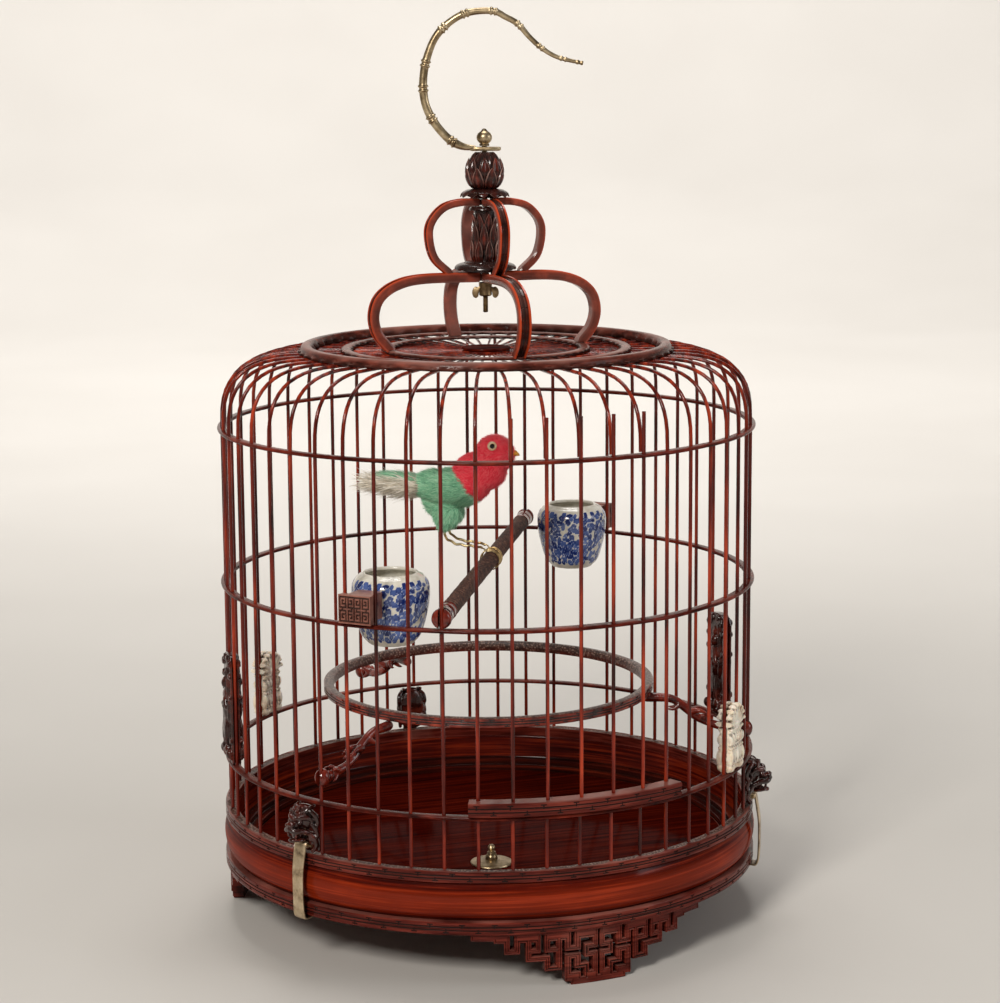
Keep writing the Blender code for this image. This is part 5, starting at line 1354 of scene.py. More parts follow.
# Lips, brows and locks: each one's curve and its radii
HEAD_STRANDS = (
    (((12.6, 0, 12), (11.6, 2.6, 11), (8.6, 3.9, 10.6), (5.4, 4.7, 9), (4.6, 4.9, 6.6)),
     (1.15, 1.25, 1.15, 1.1, 1.1)),
    (((9.8, 0.6, 15.4), (9.0, 2.6, 16.4), (6.6, 4.6, 16.4), (4.6, 5.6, 14.8)), (1.0, 1.25, 1.1, 0.8)),
    (((4.6, 4.6, 18.6), (3.4, 6.2, 16.8), (2.6, 6.8, 13.8), (3.8, 6.9, 11.4)), (1.1, 1.25, 1.1, 0.6)),
    (((4.8, 5.4, 13.4), (3.6, 6.5, 11.2), (2.8, 6.8, 8.4), (4.2, 6.8, 6.6)), (1.0, 1.15, 1.0, 0.5)),
    (((4.8, 5.2, 8.6), (3.8, 6.2, 6.4), (3.0, 6.2, 3.8), (4.6, 5.6, 1.2)), (1.0, 1.2, 1.2, 0.8)),
    (((2.6, 6.2, 9.0), (1.8, 6.9, 5.4), (1.6, 6.6, 1.6)), (0.9, 0.9, 0.9)),
    (((6.2, 2.6, 18.2), (4.4, 3.8, 19.8), (2.0, 4.4, 20.4)), (1.2, 1.1, 0.8)),
)
STRAP_PATH = ((5.2, 5.0), (6.2, 3.4), (6.9, -0.6), (7.9, -7.5), (8.1, -14.0), (8.0, -21.5), (7.7, -26.2),
              (6.8, -28.6), (4.7, -28.65), (2.8, -28.65))
# Shares of the strap's width, thickness and crown, and its painted shade
STRAP_SECTION = ((-1, 0, 0, 0.85), (-0.97, 0.8, 0, 0.3), (-0.86, 1, 0, 0.0), (-0.4, 1, 0.7, 0.2),
                 (0, 1, 1, 0.25), (0.4, 1, 0.7, 0.2), (0.86, 1, 0, 0.0), (0.97, 0.8, 0, 0.3), (1, 0, 0, 0.85),
                 (0.97, -0.8, 0, 0.9), (0.86, -1, 0, 0.9), (-0.86, -1, 0, 0.9), (-0.97, -0.8, 0, 0.9))


def make_clasps():
    """Three lion heads and the brass straps hinged in their chins."""
    lumps = lumps_of(HEAD)
    for side in (-1, 1):
        lumps += lumps_of(HEAD_SIDES, side) + curl(7.4, side * 3.2, 18.0, 1.2, side, 0.9, 0.5)
        lumps += [matrix for corners, radii in HEAD_STRANDS for matrix in strand(corners, radii, side)]
    slot = ((20.0, 7.6, 12.0), moved(13.5, 0.0, -0.5))
    trims = (((0, 0, 0), (-1, 0, 0)), ((0, 0, 0), (0, 0, -1)), ((0, 0, 21.45), (0, 0, 1)))
    head = sculpt("lion_head", lumps, 0.24, GLOSSY_CARVING, 3, (), (slot,), trims)
    path = through([(x, 0.0, z) for x, z in STRAP_PATH], 8)
    sections = []
    for k, point in enumerate(path):
        along = heading(path, k)
        width = 3.5 - 0.4 * bell(k / (len(path) - 1) - 0.5, 0.22)
        sections.append([point + Vector((0.0, y * width, 0.0))
                         + Vector((-along.z, 0.0, along.x)) * (0.45 * v + 0.12 * crown)
                         for y, v, crown, _ in STRAP_SECTION])
    # Painted shade on the strap's edges and underside
    band = loft("strap_band", sections, STRAP_BRASS, carving=[row[3] for row in STRAP_SECTION] * len(path))
    eye = [(Vector((5.2, y, 3.8)), share)
           for y, share in ((-3.5, 0.85), (-3.3, 1.0), (3.3, 1.0), (3.5, 0.85))]
    pin = [(Vector((5.2, y, 3.8)), 1.0) for y in (-5.7, 5.7)]
    strap = join("strap_bent", band, rods("strap_eye", [eye], 1.4, STRAP_BRASS, 20),
                 rods("strap_pin", [pin], 0.6, DARK_BRASS))
    for side, angle in (("left", -59.5), ("right", 60.5), ("back", 180.5)):
        place = facing(angle, 117.3, BAR_FOOT)
        fit(copy_of(head, f"lion_head_{side}", place), "cage", "carved_wood", f"clasp_head_{side}")
        fit(copy_of(strap, f"strap_{side}_bent", place), f"strap_{side}", "brass", f"clasp_strap_{side}")
    remove(head, strap)


# Perches
VINE = ((0.0, 0.0, 13.3), (10.9, 0.0, 12.8), (18.2, 0.0, 8.4), (23.9, 0.0, 4.05), (31.3, 0.0, 1.35),
        (40.5, 0.0, 0.0))
# Leaves of a vine arm on each side, then those on its middle: start, tip, radius and bend
SIDE_LEAVES = (((20.0, 0.9, 7.4), (28.6, 2.4, 6.4), 1.5, (0, 0.5, 1.2)),
               ((14.5, 1.0, 10.2), (9.0, 2.3, 8.8), 1.2, (0, 0.5, -0.9)),
               ((36.0, 0.9, 0.8), (40.8, 2.6, 2.8), 1.3, (0, 0.4, 0.7)),
               ((36.5, 0.9, 0.2), (40.6, 2.2, -2.2), 1.2, (0, 0.4, -0.5)))
TOP_LEAVES = (((24.0, 0, 4.4), (31.0, 0, 5.2), 1.4, (0, 0, 0.9)),
              ((37.0, 0, 1.6), (41.0, 0, 4.0), 1.3, (0, 0, 0.8)))
BALL_CENTRE = 44.8


def make_ring_perch():
    """Round perch with a gritty top and the key border outside, on three vine arms with balls on the bars."""
    outer, inner, low, high = 75.8, 71.2, 101.5, 106.1
    rest = [(outer - 0.2, high - 0.2, 0.7), (outer - 1.0, high, 1.0), (73.5, high + 0.1, 1.0),
            (inner + 1.2, high - 0.1, 1.0), (inner + 0.2, high - 0.6, 1.0), (inner, high - 1.4, 0.9),
            (inner, low + 1.2, 0.7), (inner + 0.6, low + 0.2, 0.4), (inner + 1.2, low, 0.0),
            (outer - 1.0, low, 0.0), (outer - 0.2, low + 0.2, 0.0)]
    fit(key_ring("ring_perch_carved", outer, low + 0.5, high - low - 1.0, rest, 36, VINE_LACQUER),
        "ring_perch", "carved_wood", "ring_perch")
    route = through(VINE, 9)
    lumps = []
    for k, point in enumerate(route):
        share = k / (len(route) - 1)
        thick = 2.0 + 0.25 * math.cos(share * 7.0) ** 2 - 0.3 * share
        lumps.append(lump(point.x, 0.35 * math.sin(share * 11), point.z, thick, thick * 0.95, thick))
    for side in (-1, 1):
        lumps += [matrix for leaf in SIDE_LEAVES for matrix in thorn(*leaf, side)]
    lumps += [matrix for leaf in TOP_LEAVES for matrix in thorn(*leaf)]
    lumps.append(lump(1.2, 0, 13.4, 2.6, 2.3, 1.8))
    vine = sculpt("vine", lumps, 0.30, VINE_LACQUER, 1)
    upper = [(1.2, 3.8), (2.2, 3.1), (2.9, 2.1), (3.3, 1.0)]
    ball = turned("arm_ball",
                  [(0.0, 4.0), *upper, (3.4, 0.0), *((radius, -z) for radius, z in upper[::-1]), (0.0, -4.0)],
                  40, VINE_LACQUER, centre=Vector((BALL_CENTRE, 0.0, 0.0)))
    cut(ball, add_box((9.0, 2.4, 13.0), moved(BALL_CENTRE + 4.5, 0.0, 0.0)))
    collar = rods("ball_collar", [[(Vector((x, 0.0, 0.0)), share) for x, share in
                                   ((39.8, 0.9), (40.3, 1.0), (41.8, 1.0), (42.4, 0.85))]],
                  2.5, VINE_LACQUER, 24)
    arm = join("arm_vine", vine, crease(ball, 40.0), collar)
    for name, index in (("left", -8), ("right", 9), ("back", 28)):
        fit(copy_of(arm, f"ring_arm_{name}_vine", facing(index * PITCH, 73.5, 85.6)),
            "ring_perch", "lacquered_wood", f"ring_arm_{name}")
    remove(arm)


PERCH_Z = 159.7
PERCH_BAR = -4
PERCH_MIDDLE = 103.1
# Turned end of the perch from its tip inwards: radius, distance from the middle and painted shade
PERCH_END = ((0.0, 122.6, 0.2), (2.0, 122.5, 0.1), (3.3, 122.0, 0.0), (4.1, 120.9, 0.0), (4.3, 119.6, 0.0),
             (4.1, 118.2, 0.0), (3.4, 117.4, 0.4), (2.9, 117.0, 0.95), (3.3, 116.5, 0.3), (3.9, 115.8, 0.0),
             (3.8, 114.2, 0.0), (3.7, 112.0, 0.0), (3.6, 110.9, 0.2), (3.0, 110.1, 0.95), (3.4, 109.5, 0.3),
             (3.8, 108.7, 0.0), (3.6, 107.0, 0.0), (3.6, 104.6, 0.1), (3.9, 103.8, 0.2),
             (3.5, PERCH_MIDDLE, 0.5), (0.0, PERCH_MIDDLE, 0.3))


def make_perch():
    """Straight perch with a sanded middle and red turned ends slotted over two bars."""
    middle = [(3.68 + 0.07 * math.sin(k * 1.7) + 0.05 * math.sin(k * 0.61 + 1.0), -102.8 + 205.6 * k / 96)
              for k in range(97)]
    parts = [turned("shaft", [(0.0, -PERCH_MIDDLE), (3.4, -PERCH_MIDDLE), *middle, (3.4, PERCH_MIDDLE),
                              (0.0, PERCH_MIDDLE)], 36, SANDED_WOOD)]
    for side in (-1, 1):
        # Painted shade in the grooves of each end
        end = turned("end", [(radius, side * z) for radius, z, dark in PERCH_END], 40, VINE_LACQUER,
                     carving=[dark for radius, z, dark in PERCH_END])
        cut(end, add_box((2.4, 14.0, 10.0), moved(0.0, 0.0, side * 123.0)))
        parts.append(crease(end, 40.0))
    perch = join("perch_sanded", *parts)
    shift(perch, moved(0.0, 0.0, PERCH_Z) @ rotated(PERCH_BAR * PITCH) @ rotated(90, "X"))
    fit(perch, "perch", "sanded_wood", "perch")


# Cups
JAR_ROUND = 100.0


def make_brushwork():
    """Strokes of the painting, round and up the jar: blossoms first, then leaves and dabs round them."""
    pick = random.Random(11)
    strokes = []
    for k in range(9):
        place, row = JAR_ROUND * k / 9 + pick.uniform(-1, 1), 18.5 if k % 2 else 11.0
        strokes.append((place, row, 4.0, 3.4, pick.uniform(0, 3), 0.50))
        for petal in range(9):
            turn = 2 * math.pi * petal / 9 + k
            strokes.append((place + 3.6 * math.cos(turn), row + 3.1 * math.sin(turn), 1.35, 0.95, turn,
                            pick.uniform(0.6, 0.85)))
        strokes.append((place, row, 1.1, 1.0, 0.0, 0.95))
    for k in range(480):
        row = 2.6 + 25.2 * (k % 20 + pick.uniform(0.1, 0.9)) / 20
        place = JAR_ROUND * (k // 20 + pick.uniform(0.0, 1.0)) / 24
        strokes.append((place, row, pick.uniform(1.1, 2.3), pick.uniform(0.75, 1.35),
                        pick.uniform(0, math.pi), pick.uniform(0.45, 1.0)))
    return strokes


def painting(strokes, around, rise):
    """Blue on the jar at a place round it (0 to 1) and a height over its foot."""
    value = 0.0
    if not 2.0 <= rise <= 28.4:
        return value
    for x, z, length, width, turn, tone in strokes:
        up = rise - z
        side = (around * JAR_ROUND - x + JAR_ROUND / 2) % JAR_ROUND - JAR_ROUND / 2
        if max(abs(up), abs(side)) > length:
            continue
        a = side * math.cos(turn) + up * math.sin(turn)
        b = up * math.cos(turn) - side * math.sin(turn)
        reach = (a / length) ** 2 + (b / width) ** 2
        if reach < 1.0:
            value = tone * (0.85 if reach < 0.45 else 1.0)
        elif reach < 1.30:
            value = min(value, 0.10)
    return value


def make_cups():
    """Porcelain jars with a dense blue painting, and the carved clips that hold them to the bars."""
    base, height = 141.9, 30.6
    outer = through([(9.4, 0.0), (10.4, 0.9), (13.0, height * 0.14), (15.4, height * 0.40),
                     (16.6, height * 0.63), (16.5, height * 0.83), (14.6, height * 0.94),
                     (12.4, height * 0.985), (11.8, height)],
                    12)
    lip = [(11.4, height + 0.1), (11.0, height), (10.7, height * 0.985)]
    inside = through([(10.7, height * 0.965), (14.4, height * 0.88), (14.7, height * 0.63),
                      (13.4, height * 0.40), (10.8, height * 0.17), (7.0, 2.2)], 4)
    foot = [(0.0, 0.8), (7.4, 0.8), (7.8, 0.0)]
    profile = [*foot, *outer, *lip, *inside, (0.0, 1.8)]
    steps = 300
    strokes = make_brushwork()
    brushed = [painting(strokes, step / steps, z) if 0 <= k - len(foot) < len(outer) else 0.0
               for step in range(steps) for k, (_, z) in enumerate(profile)]
    for side, angle in (("front", -45.0), ("back", 135.0)):
        fit(turned(f"cup_{side}_painted", profile, steps, PORCELAIN, low=base, centre=spot(92.5, angle),
                   sharp=50.0, paint=brushed), "cage", "porcelain", f"cup_{side}")
        make_clip(side, angle)


CLIP_FRET = (
    "###########################",
    "#.........................#",
    "#.####.#.####.####.#.####.#",
    "#.#..#.#.#..#.#..#.#.#..#.#",
    "#.#.##.#.##.#.#.##.#.##.#.#",
    "#.#....#....#.#....#....#.#",
    "#.####.#.####.####.#.####.#",
    "#......#...........#......#",
    "###.#######.#.#.#######.###",
    "#......#....#.#....#......#",
    "#.####.#.####.####.#.####.#",
    "#.#....#....#.#....#....#.#",
    "#.#.##.#.##.#.#.##.#.##.#.#",
    "#.#..#.#.#..#.#..#.#.#..#.#",
    "#.####.#.####.####.#.####.#",
    "#.........................#",
    "###########################",
)


def fine_outline(corners, steps):
    """Outline with more points along each side."""
    return [(x + (after_x - x) * step / steps, y + (after_y - y) * step / steps)
            for (x, y), (after_x, after_y) in zip(corners, corners[1:] + corners[:1])
            for step in range(steps)]


def make_clip(side, angle):
    """Clip of one cup: a block outside the bars with a raised fret, and its neck between them."""
    place = facing(angle, 0.0, 162.1)
    inner, outer = 120.4, 124.4
    width, height = 15.2, 12.4
    face = outer - 0.8

    def put(x, y, depth):
        """Point on the clip's face."""
        return place @ Vector((outer - min(depth, 1.0), x - width / 2, height / 2 - y))

    def block_at(name, middle, half_width, half_height, steps, thickness, edge):
        """Rounded block across the bars."""
        outline = [(-half_width, -half_height), (half_width, -half_height), (half_width, half_height),
                   (-half_width, half_height)]
        stand = moved(middle, 0.0, 0.0) @ rotated(90, "Y") @ rotated(90, "Z")
        return slab(name, fine_outline(outline, steps), thickness, place @ stand, BLOCK_CARVING, edge)

    fret = fretwork("clip_fret", CLIP_FRET, [width / 27] * 27, [height / 17] * 17, put, 1.0, BLOCK_CARVING)
    block = block_at("clip_block", (inner + face) / 2, 7.3, 6.1, 6, face - inner, 0.5)
    # Painted shade on the block's face behind the fret
    out = place.inverted()
    block.data.attributes.new("carving", "FLOAT", "POINT").data.foreach_set(
        "value", [0.9 if (out @ (vert.co / MM)).x > face - 0.3 else 0.0 for vert in block.data.vertices])
    neck = block_at("clip_neck", 116.05, 5.4, 5.6, 4, 12.9, 0.6)
    fit(join(f"cup_clip_{side}_carved", block, fret, neck), "cage", "carved_wood", f"cup_clip_{side}")


# Plaques
def bone_lumps():
    """Bone carving on its plate: fan, collar, leaves, band, skirt and two feet."""
    lumps = []
    for degrees in range(-80, 81, 20):
        y, z = 9.0 * math.sin(math.radians(degrees)), 9.0 * math.cos(math.radians(degrees))
        lumps.append(lump(1.6, y * 0.55, 20.8 + z * 0.55, 2.0, 1.26, 4.68, -degrees))
        lumps.append(lump(1.9, y * 0.95, 20.8 + z * 0.95, 2.0, 1.35, 1.17))
    lumps.append(lump(2.4, 0, 21.4, 1.6, 2.6, 2.0))
    for y in range(-6, 7, 2):
        lumps += lumps_of([(2.6, y, 19.4, 1.1, 1.0, 0.9),
                           (2.4, y * 1.05, 15.9 - 0.04 * y * y, 1.5, 1.05, 2.6, -y * 3),
                           (2.3, y * 1.05, 11.0, 1.3, 0.95, 0.8),
                           (2.2 + 0.4 * math.cos(y), y * 1.12, 7.0, 1.5, 1.15, 3.6, y * 1.5),
                           (2.6, y * 1.14, 4.2, 1.2, 1.0, 0.9)])
    lumps += lumps_of([(2.3, 0, 12.6, 1.0, 8.2, 0.7), (2.2, 0, 18.0, 1.0, 8.0, 0.6),
                       (2.2, 0, 9.6, 1.0, 8.2, 0.55), (2.7, 0, 15.2, 1.6, 1.4, 1.6)])
    for side in (-1, 1):
        lumps += lumps_of([(1.8, 5.2, 1.7, 2.0, 2.6, 1.7), (2.4, 3.6, 2.2, 1.4, 1.2, 1.4),
                           (2.4, 6.6, 2.2, 1.3, 1.2, 1.5)], side)
        lumps += curl(2.2, side * 7.0, 25.6, 1.5, side)
    return lumps


# Robed figure under a cloud: head, dress, arms and staff, some with a turn about X; then the curls of the
# cloud and the rocks, as place across, height and size
FIGURE = ((2.0, 0.2, 36.4, 2.6, 2.5, 3.0), (3.6, 0.3, 36.0, 1.2, 1.7, 2.0), (1.6, 0, 40.2, 2.0, 2.2, 1.8),
          (1.4, -0.4, 42.2, 1.4, 1.3, 1.4), (1.8, 0, 30.6, 2.4, 4.9, 3.6), (2.0, 0.6, 24.0, 2.5, 4.6, 6.0),
          (2.0, 0.2, 15.0, 2.3, 5.2, 7.5), (3.4, 2.6, 27.6, 1.3, 1.4, 3.6, 30),
          (3.5, -1.8, 26.4, 1.2, 3.0, 1.3, 25), (4.0, 1.0, 25.6, 0.9, 1.1, 1.0),
          (2.4, 5.4, 24.4, 1.0, 1.2, 5.8, -10), (2.6, -4.6, 20.4, 1.1, 1.3, 6.5, 8),
          (2.6, 4.4, 36.4, 0.8, 0.8, 9.5, 4))
FIGURE_CURLS = ((-6.4, 44.6, 1.7), (6.2, 45.4, 1.7), (-3.0, 47.0, 1.5), (2.6, 47.4, 1.5), (-7.0, 39.0, 1.5),
                (7.0, 40.0, 1.4), (-7.2, 32.6, 1.4), (7.2, 30.4, 1.3), (-7.0, 11.4, 1.5), (7.0, 10.6, 1.5),
                (-6.6, 3.0, 1.7), (6.6, 2.8, 1.7), (0.0, 2.6, 1.7))


def figure_lumps(mirror):
    """Wooden carving on its plate: the robed figure, on a rocky base."""
    lumps = [lump(x, y * mirror, z, a, b, c, *(turn * mirror for turn in turns))
             for x, y, z, a, b, c, *turns in FIGURE]
    for k in range(5):
        y = (-4.0 + 2.0 * k) * mirror
        lumps.append(lump(3.4, y * 0.9, 13.6 - 0.1 * k, 0.9, 0.55, 6.2, y * 1.6))
        lumps.append(lump(2.8, y * 1.7, 4.6 + (k % 2) * 1.6, 1.8, 2.2, 2.4))
    for k, (y, z, size) in enumerate(FIGURE_CURLS):
        lumps += curl(2.4, y * mirror, z, size, 1 if k % 2 else -1)
    return lumps


def both_ways(corners):
    """Outline from its right half, from the bottom to the top's middle."""
    return corners + [(-x, y) for x, y in corners[::-1] if x]


def make_plaques():
    """Two bone and two wooden plaques, each slid between two bars by the grooves in its sides."""
    groove = math.radians(PITCH / 2) * BAR_CIRCLE + 1.8
    bone = both_ways([(7.4, 0.2), (7.0, 4.0), (8.0, 6.0), (7.0, 10.0), (7.2, 17.0), (6.4, 20.0), (0.0, 24.0)])
    wood = both_ways([(8.7, 0.2), (8.6, 24.8), (8.8, 44.6), (7.2, 48.0), (4.5, 49.2), (0.0, 49.6)])
    for kind, side, angle, width, height, lumps, outline, finish, slot in (
            ("bone", "right", 45.0, 17.4, 31.0, bone_lumps(), bone, BONE, "bone"),
            ("bone", "left", -135.0, 17.4, 31.0, bone_lumps(), bone, BONE, "bone"),
            ("wood", "right", 93.46, 18.0, 50.0, figure_lumps(-1), wood, PLAQUE_WOOD, "dark_wood"),
            ("wood", "left", -93.46, 18.0, 50.0, figure_lumps(1), wood, PLAQUE_WOOD, "dark_wood")):
        plate = slab("plate", fine_outline(outline, 3), 4.2, rotated(90, "Z") @ rotated(90, "X"), finish, 0.5)
        behind = Matrix.Diagonal((-1.0, 1.0, 1.0, 1.0))
        lumps = lumps + [behind @ matrix @ behind for matrix in lumps]
        cuts = [((2.4, 6.0, 60.0), moved(0.0, s * groove, height / 2)) for s in (-1, 1)]
        trims = [((0, 0, 0), (0, 0, -1)), ((0, 0, height), (0, 0, 1)), ((0, -width / 2, 0), (0, -1, 0)),
                 ((0, width / 2, 0), (0, 1, 0))]
        carved = sculpt(f"{kind}_plaque_{side}_carved", lumps, 0.34, finish, 1, (plate,), cuts, trims)
        fit(shift(carved, facing(angle, BAR_CIRCLE, 76.25)), "cage", slot, f"{kind}_plaque_{side}")


# Decoy bird, in millimetres from the perch under its feet; +X is forwards
def flow_field(thing, rule):
    """Stores the way the feathers lie at each point."""
    ways = [part for vert in thing.data.vertices for part in rule(vert.co / MM, vert.normal)]
    thing.data.attributes.new("flow", "FLOAT_VECTOR", "POINT").data.foreach_set("vector", ways)


def make_barb(length, width, bend):
    """One feather barb: a narrow bent strip tapering to its tip."""
    points = [(length * share, side * width * half / 2, bend * math.sin(share * 2.4))
              for share, half in ((0.0, 0.7), (0.5, 1.0), (1.0, 0.05)) for side in (-1, 1)]
    return add_mesh("barb", points, [(0, 2, 3, 1), (2, 4, 5, 3)])


def coat(thing, material, barb, density, size, lift, seed):
    """Feathers over a base; their density is per square metre."""
    made = copy_of(thing, "coat", Matrix.Identity(4))
    return grow(made, FEATHER_TREE, material, Barb=barb, Density=density, Size=size, Lift=lift, Seed=seed)


def keep_side(thing, rule):
    """Keeps only the faces whose middle passes the rule, and closes the hole left."""
    work = bmesh.new()
    work.from_mesh(thing.data)
    gone = [face for face in work.faces if not rule(face.calc_center_median() / MM)]
    bmesh.ops.delete(work, geom=gone, context="FACES")
    bmesh.ops.holes_fill(work, edges=[edge for edge in work.edges if edge.is_boundary], sides=0)
    work.to_mesh(thing.data)
    work.free()


def is_red(point):
    """Whether a point of the body lies in front of the line where the red begins."""
    return point.x + noise.noise(point * 0.3) > -17.0 + (43.0 - point.z) * 19.0 / 23.0


def lie(point, normal):
    """Way of a feather on the body: backwards and a little down, along the skin."""
    way = Vector((-1.0, 0.0, -0.25 if point.z > 40.0 else 0.05))
    if point.x > -4.0:
        way = Vector((-0.55, 0.25 if point.y > 0 else -0.25, -0.75 if point.z < 50.0 else 0.35))
    if point.z < 24.0 and point.x < -12.0:
        way = Vector((-0.35, 0.0, -1.0))
    way = way - normal * way.dot(normal)
    return way.normalized() if way.length > 0.01 else Vector((0.0, 0.0, -1.0))


BODY = ((-16.0, 0, 33.0, 17.0, 10.2, 9.4, 0, -8), (-6.5, 0, 38.0, 10.0, 9.0, 8.6, 0, -35),
        (-9.0, 0, 42.5, 9.0, 7.0, 6.2, 0, -30), (-1.5, 0, 41.5, 9.2, 8.8, 9.2), (2.2, 0, 48.8, 9.2, 8.3, 8.8),
        (-27.0, 0, 34.0, 9.0, 7.4, 7.2, 0, -8), (-22.0, 0, 26.0, 9.5, 8.4, 7.0, 0, 10),
        (-41.0, 0, 37.4, 13.0, 5.2, 1.9, 0, 5))
THIGHS_AND_WINGS = ((-19.5, 5.8, 21.0, 6.4, 4.0, 6.0, 0, 10), (-20.4, 6.0, 17.2, 3.6, 2.9, 3.2),
                    (-18.0, 7.8, 34.0, 13.5, 3.2, 6.8, 0, -6))
TAIL = ((-42.5, 0, 33.8, 15.0, 6.4, 3.0, 0, 3), (-36.0, 0, 33.2, 10.0, 6.0, 4.2),
        (-49.0, 0, 34.6, 8.0, 6.8, 2.6))


def make_feathered():
    """Body, head and tail of the bird: a skin each, with barbs over it."""
    body = sculpt("bird_skin", lumps_of(BODY) + lumps_of(THIGHS_AND_WINGS, -1) + lumps_of(THIGHS_AND_WINGS),
                  0.7, GREEN_FEATHERS, 3)
    flow_field(body, lie)
    head = paint(copy_of(body, "bird_front", Matrix.Identity(4)), RED_FEATHERS)
    keep_side(head, is_red)
    keep_side(body, lambda point: not is_red(point))
    tail = sculpt("tail_skin", lumps_of(TAIL), 0.6, CREAM_FEATHERS, 2)
    flow_field(tail, lambda point, normal: Vector((-1.0, point.y * 0.018, 0.02)).normalized())
    barb, fine, long_barb = make_barb(2.8, 0.24, 0.2), make_barb(1.9, 0.21, 0.2), make_barb(10.0, 0.5, 0.8)
    body = [body, coat(body, GREEN_FEATHERS, barb, 7.5e6, 1.0, 0.10, 3),
            coat(body, GREEN_FEATHERS, barb, 1.5e6, 0.7, 0.5, 5)]
    head = [head, coat(head, RED_FEATHERS, fine, 12.0e6, 0.95, 0.14, 4),
            coat(head, RED_FEATHERS, fine, 2.4e6, 0.7, 0.6, 6)]
    tail = [tail, coat(tail, CREAM_FEATHERS, long_barb, 2.2e6, 0.85, 0.12, 8)]
    remove(barb, fine, long_barb)
    return body, head, tail


def make_face():
    """Beak and glass eyes in their rings."""
    beak = loft("beak", [[Vector((11.4 + 2.2 * s, w * y, 49.2 - 0.8 * s * s + h * w * z)) for y, z in
                          ((-1.0, 0.0), (-0.7, 0.6), (0.0, 0.9), (0.7, 0.6), (1.0, 0.0), (0.7, -0.5),
                           (0.0, -0.7), (-0.7, -0.5))]
                         for s, w, h in ((-0.9, 2.1, 1.0), (0.0, 1.9, 1.0), (0.4, 1.6, 0.95), (0.8, 1.0, 0.9),
                                         (1.0, 0.4, 0.9))],
                BEAK_HORN)
    parts = [beak]
    for side in (-1, 1):
        eye = turned("eye", [(0.0, 1.5), (0.7, 1.4), (1.2, 0.9), (1.3, -0.7), (0.0, -0.7)], 24, EYE_GLASS)
        ring = turned("eye_ring", [(1.0, 1.0), (1.7, 0.8), (2.1, 0.2), (2.1, -0.8), (1.0, -0.8)], 24,
                      EYE_RING, True)
        ahead = Vector((0.25, side, 0.10)).to_track_quat("Z", "Y").to_matrix().to_4x4()
        parts.append(shift(join("eye", eye, ring), moved(2.2, side * 8.4, 53.7) @ ahead))
    return parts


def leg_route(side):
    """Crinkled wire of one leg: from the thigh to the perch, and coiled round it."""
    y = side * 5.2
    coil = 4.55
    shape = [(-20.5, y * 1.12, 15.0), (-20.0, y * 1.10, 10.5), (-15.0, y * 1.02, 7.5), (-8.5, y * 0.92, 6.6),
             (-3.0, y * 0.86, 5.6)]
    for k in range(15):
        angle = math.radians(-18 + 36 * k)
        shape.append((coil * math.sin(angle), y * (0.84 - 0.045 * k), coil * math.cos(angle)))
    route = []
    for k, point in enumerate(through(shape, 7)):
        loose, thick = (1.0, 1.0) if k < 28 else (0.25, 0.55)
        shake = Vector((0.0, 0.22 * math.sin(k * 1.25), 0.26 * math.cos(k * 1.25 + side))) * loose
        route.append((point + shake, thick))
    return route


def make_bird():
    """Decoy bird: green body, red head and breast, cream tail, glass eyes and crinkled wire legs."""
    turn = PERCH_BAR * PITCH
    home = Matrix.Translation(spot(10.0, turn + 180, PERCH_Z)) @ rotated(turn)
    body, head, tail = make_feathered()
    legs = rods("bird_legs_wire", [leg_route(-1), leg_route(1)], 0.6, GOLD_WIRE, 10)
    for name, parts, slot, solid in (("bird_body_feathers", body, "green_feathers", "bird_body"),
                                     ("bird_head_feathers", head + make_face(), "red_feathers", "bird_head"),
                                     ("bird_tail_feathers", tail, "cream_feathers", "bird_tail"),
                                     ("bird_legs_wire", [legs], "brass", "bird_legs")):
        fit(shift(join(name, *parts) if parts[1:] else legs, home), "perch", slot, solid)


# Camera, light and floor, in metres
LENS = 91.64
CAMERA_PLACE = (-0.3636, -1.0868, 0.3861)
SWEEP = ((0.6, 0.0), (1.6, 0.0), (2.4, 0.03), (3.0, 0.20), (3.5, 0.62), (3.8, 1.3), (3.9, 2.2))
MIDDLE = (0.0, 0.0, 0.18)
LAMPS = (("key", (-1.25, -1.45, 1.35), MIDDLE, 0.5, 34.0, (1.0, 0.96, 0.90)),
         ("fill", (1.7, -1.1, 0.9), MIDDLE, 0.9, 9.0, (0.95, 0.97, 1.0)),
         ("top", (0.1, 0.5, 1.9), MIDDLE, 0.8, 16.0, (1.0, 0.98, 0.95)),
         ("backdrop", (0.3, 1.4, 2.2), (1.2, 3.6, 0.8), 2.0, 85.0, (1.0, 0.98, 0.96)))


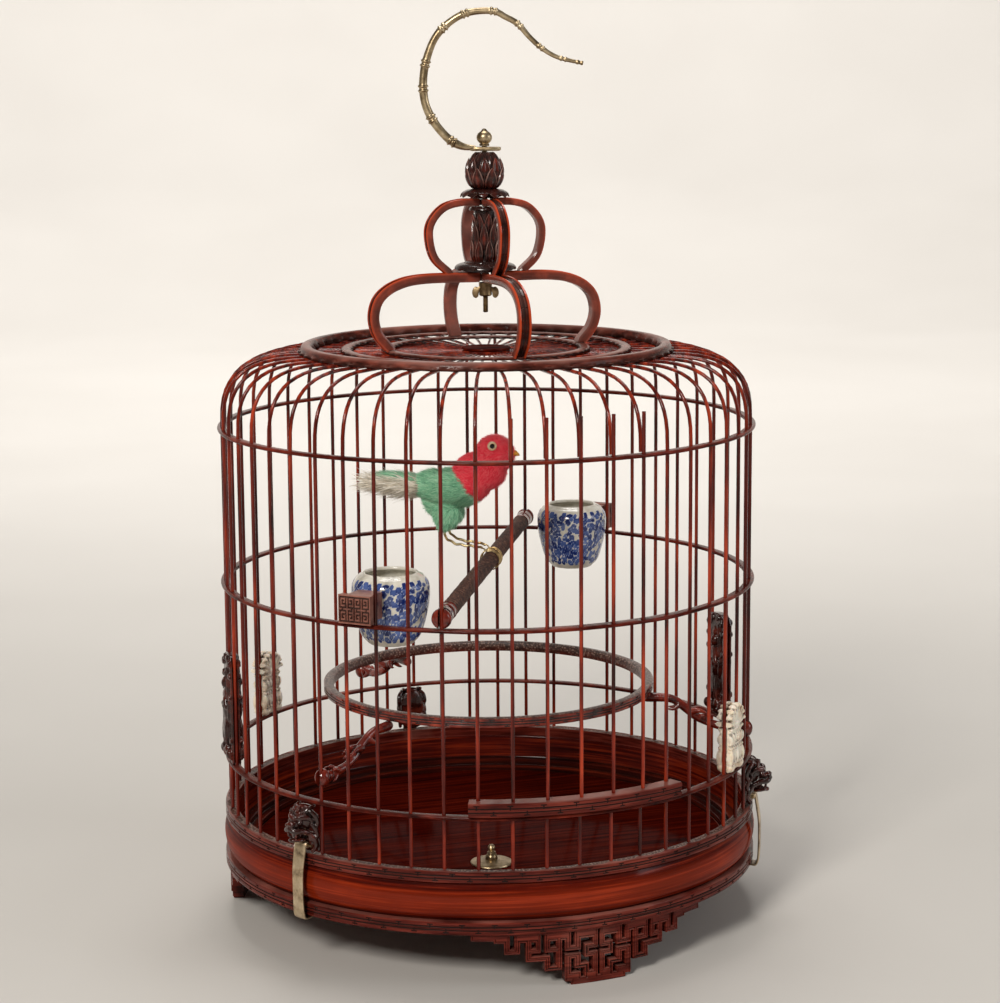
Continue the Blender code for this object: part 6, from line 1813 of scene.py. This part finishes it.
def make_camera():
    """Camera at the photograph's angle."""
    yaw, pitch, roll = math.radians(PHOTO_TURN - 0.291), math.radians(9.804), math.radians(-0.4)
    ahead = Vector((-math.sin(yaw) * math.cos(pitch), math.cos(yaw) * math.cos(pitch), -math.sin(pitch)))
    right = Vector((math.cos(yaw), math.sin(yaw), 0.0))
    up = right.cross(ahead)
    right, up = right * math.cos(roll) + up * math.sin(roll), up * math.cos(roll) - right * math.sin(roll)
    camera = add_object("camera", bpy.data.cameras.new("camera"))
    camera.data.lens = LENS
    camera.data.sensor_width = 36.0
    camera.data.clip_start = 0.01
    camera.matrix_world = Matrix((right, up, -ahead)).transposed().to_4x4()
    camera.location = CAMERA_PLACE
    bpy.context.scene.camera = camera


def make_floor_sweep():
    """Plain pale floor that rises behind into the backdrop."""
    steps = 64
    points = [spot(radius / MM, 360 * k / steps, height / MM) for radius, height in SWEEP
              for k in range(steps)]
    faces = [(row * steps + k, (row + 1) * steps + k, (row + 1) * steps + (k + 1) % steps,
              row * steps + (k + 1) % steps)
             for row in range(len(SWEEP) - 1) for k in range(steps)]
    faces += [(k, (k + 1) % steps, len(points)) for k in range(steps)]
    made, tree = start("pale_floor")
    colour = ramp(grain(tree, 3.0, 2.0), (0.3, (600, 575, 540)), (0.7, (630, 605, 570)))
    close(made, colour, 0.9, Specular_IOR_Level=0.1)
    floor = add_mesh("floor_sweep", points + [(0.0, 0.0, 0.0)], faces, made)


def make_light():
    """Soft studio light and a faint pale surround."""
    world = bpy.data.worlds.new("studio")
    world.use_nodes = True
    bpy.context.scene.world = world
    background = world.node_tree.nodes["Background"].inputs
    background["Color"].default_value = (1.0, 0.97, 0.93, 1.0)
    background["Strength"].default_value = 0.14
    for name, place, aim, size, power, colour in LAMPS:
        data = bpy.data.lights.new(name, "AREA")
        data.size = size
        data.energy = power
        data.color = colour
        lamp = add_object(name, data)
        lamp.location = place
        lamp.rotation_euler = (Vector(aim) - Vector(place)).to_track_quat("-Z", "Y").to_euler()
    bpy.context.scene.view_settings.view_transform = "Standard"


make_camera()
make_floor_sweep()
make_light()
make_rims()
make_drum()
make_floor()
make_feet()
make_bars()
make_hoops()
make_roof()
make_door()
make_arches()
make_lotus()
make_rod()
make_hook()
make_clasps()
make_ring_perch()
make_perch()
make_cups()
make_plaques()
make_bird()
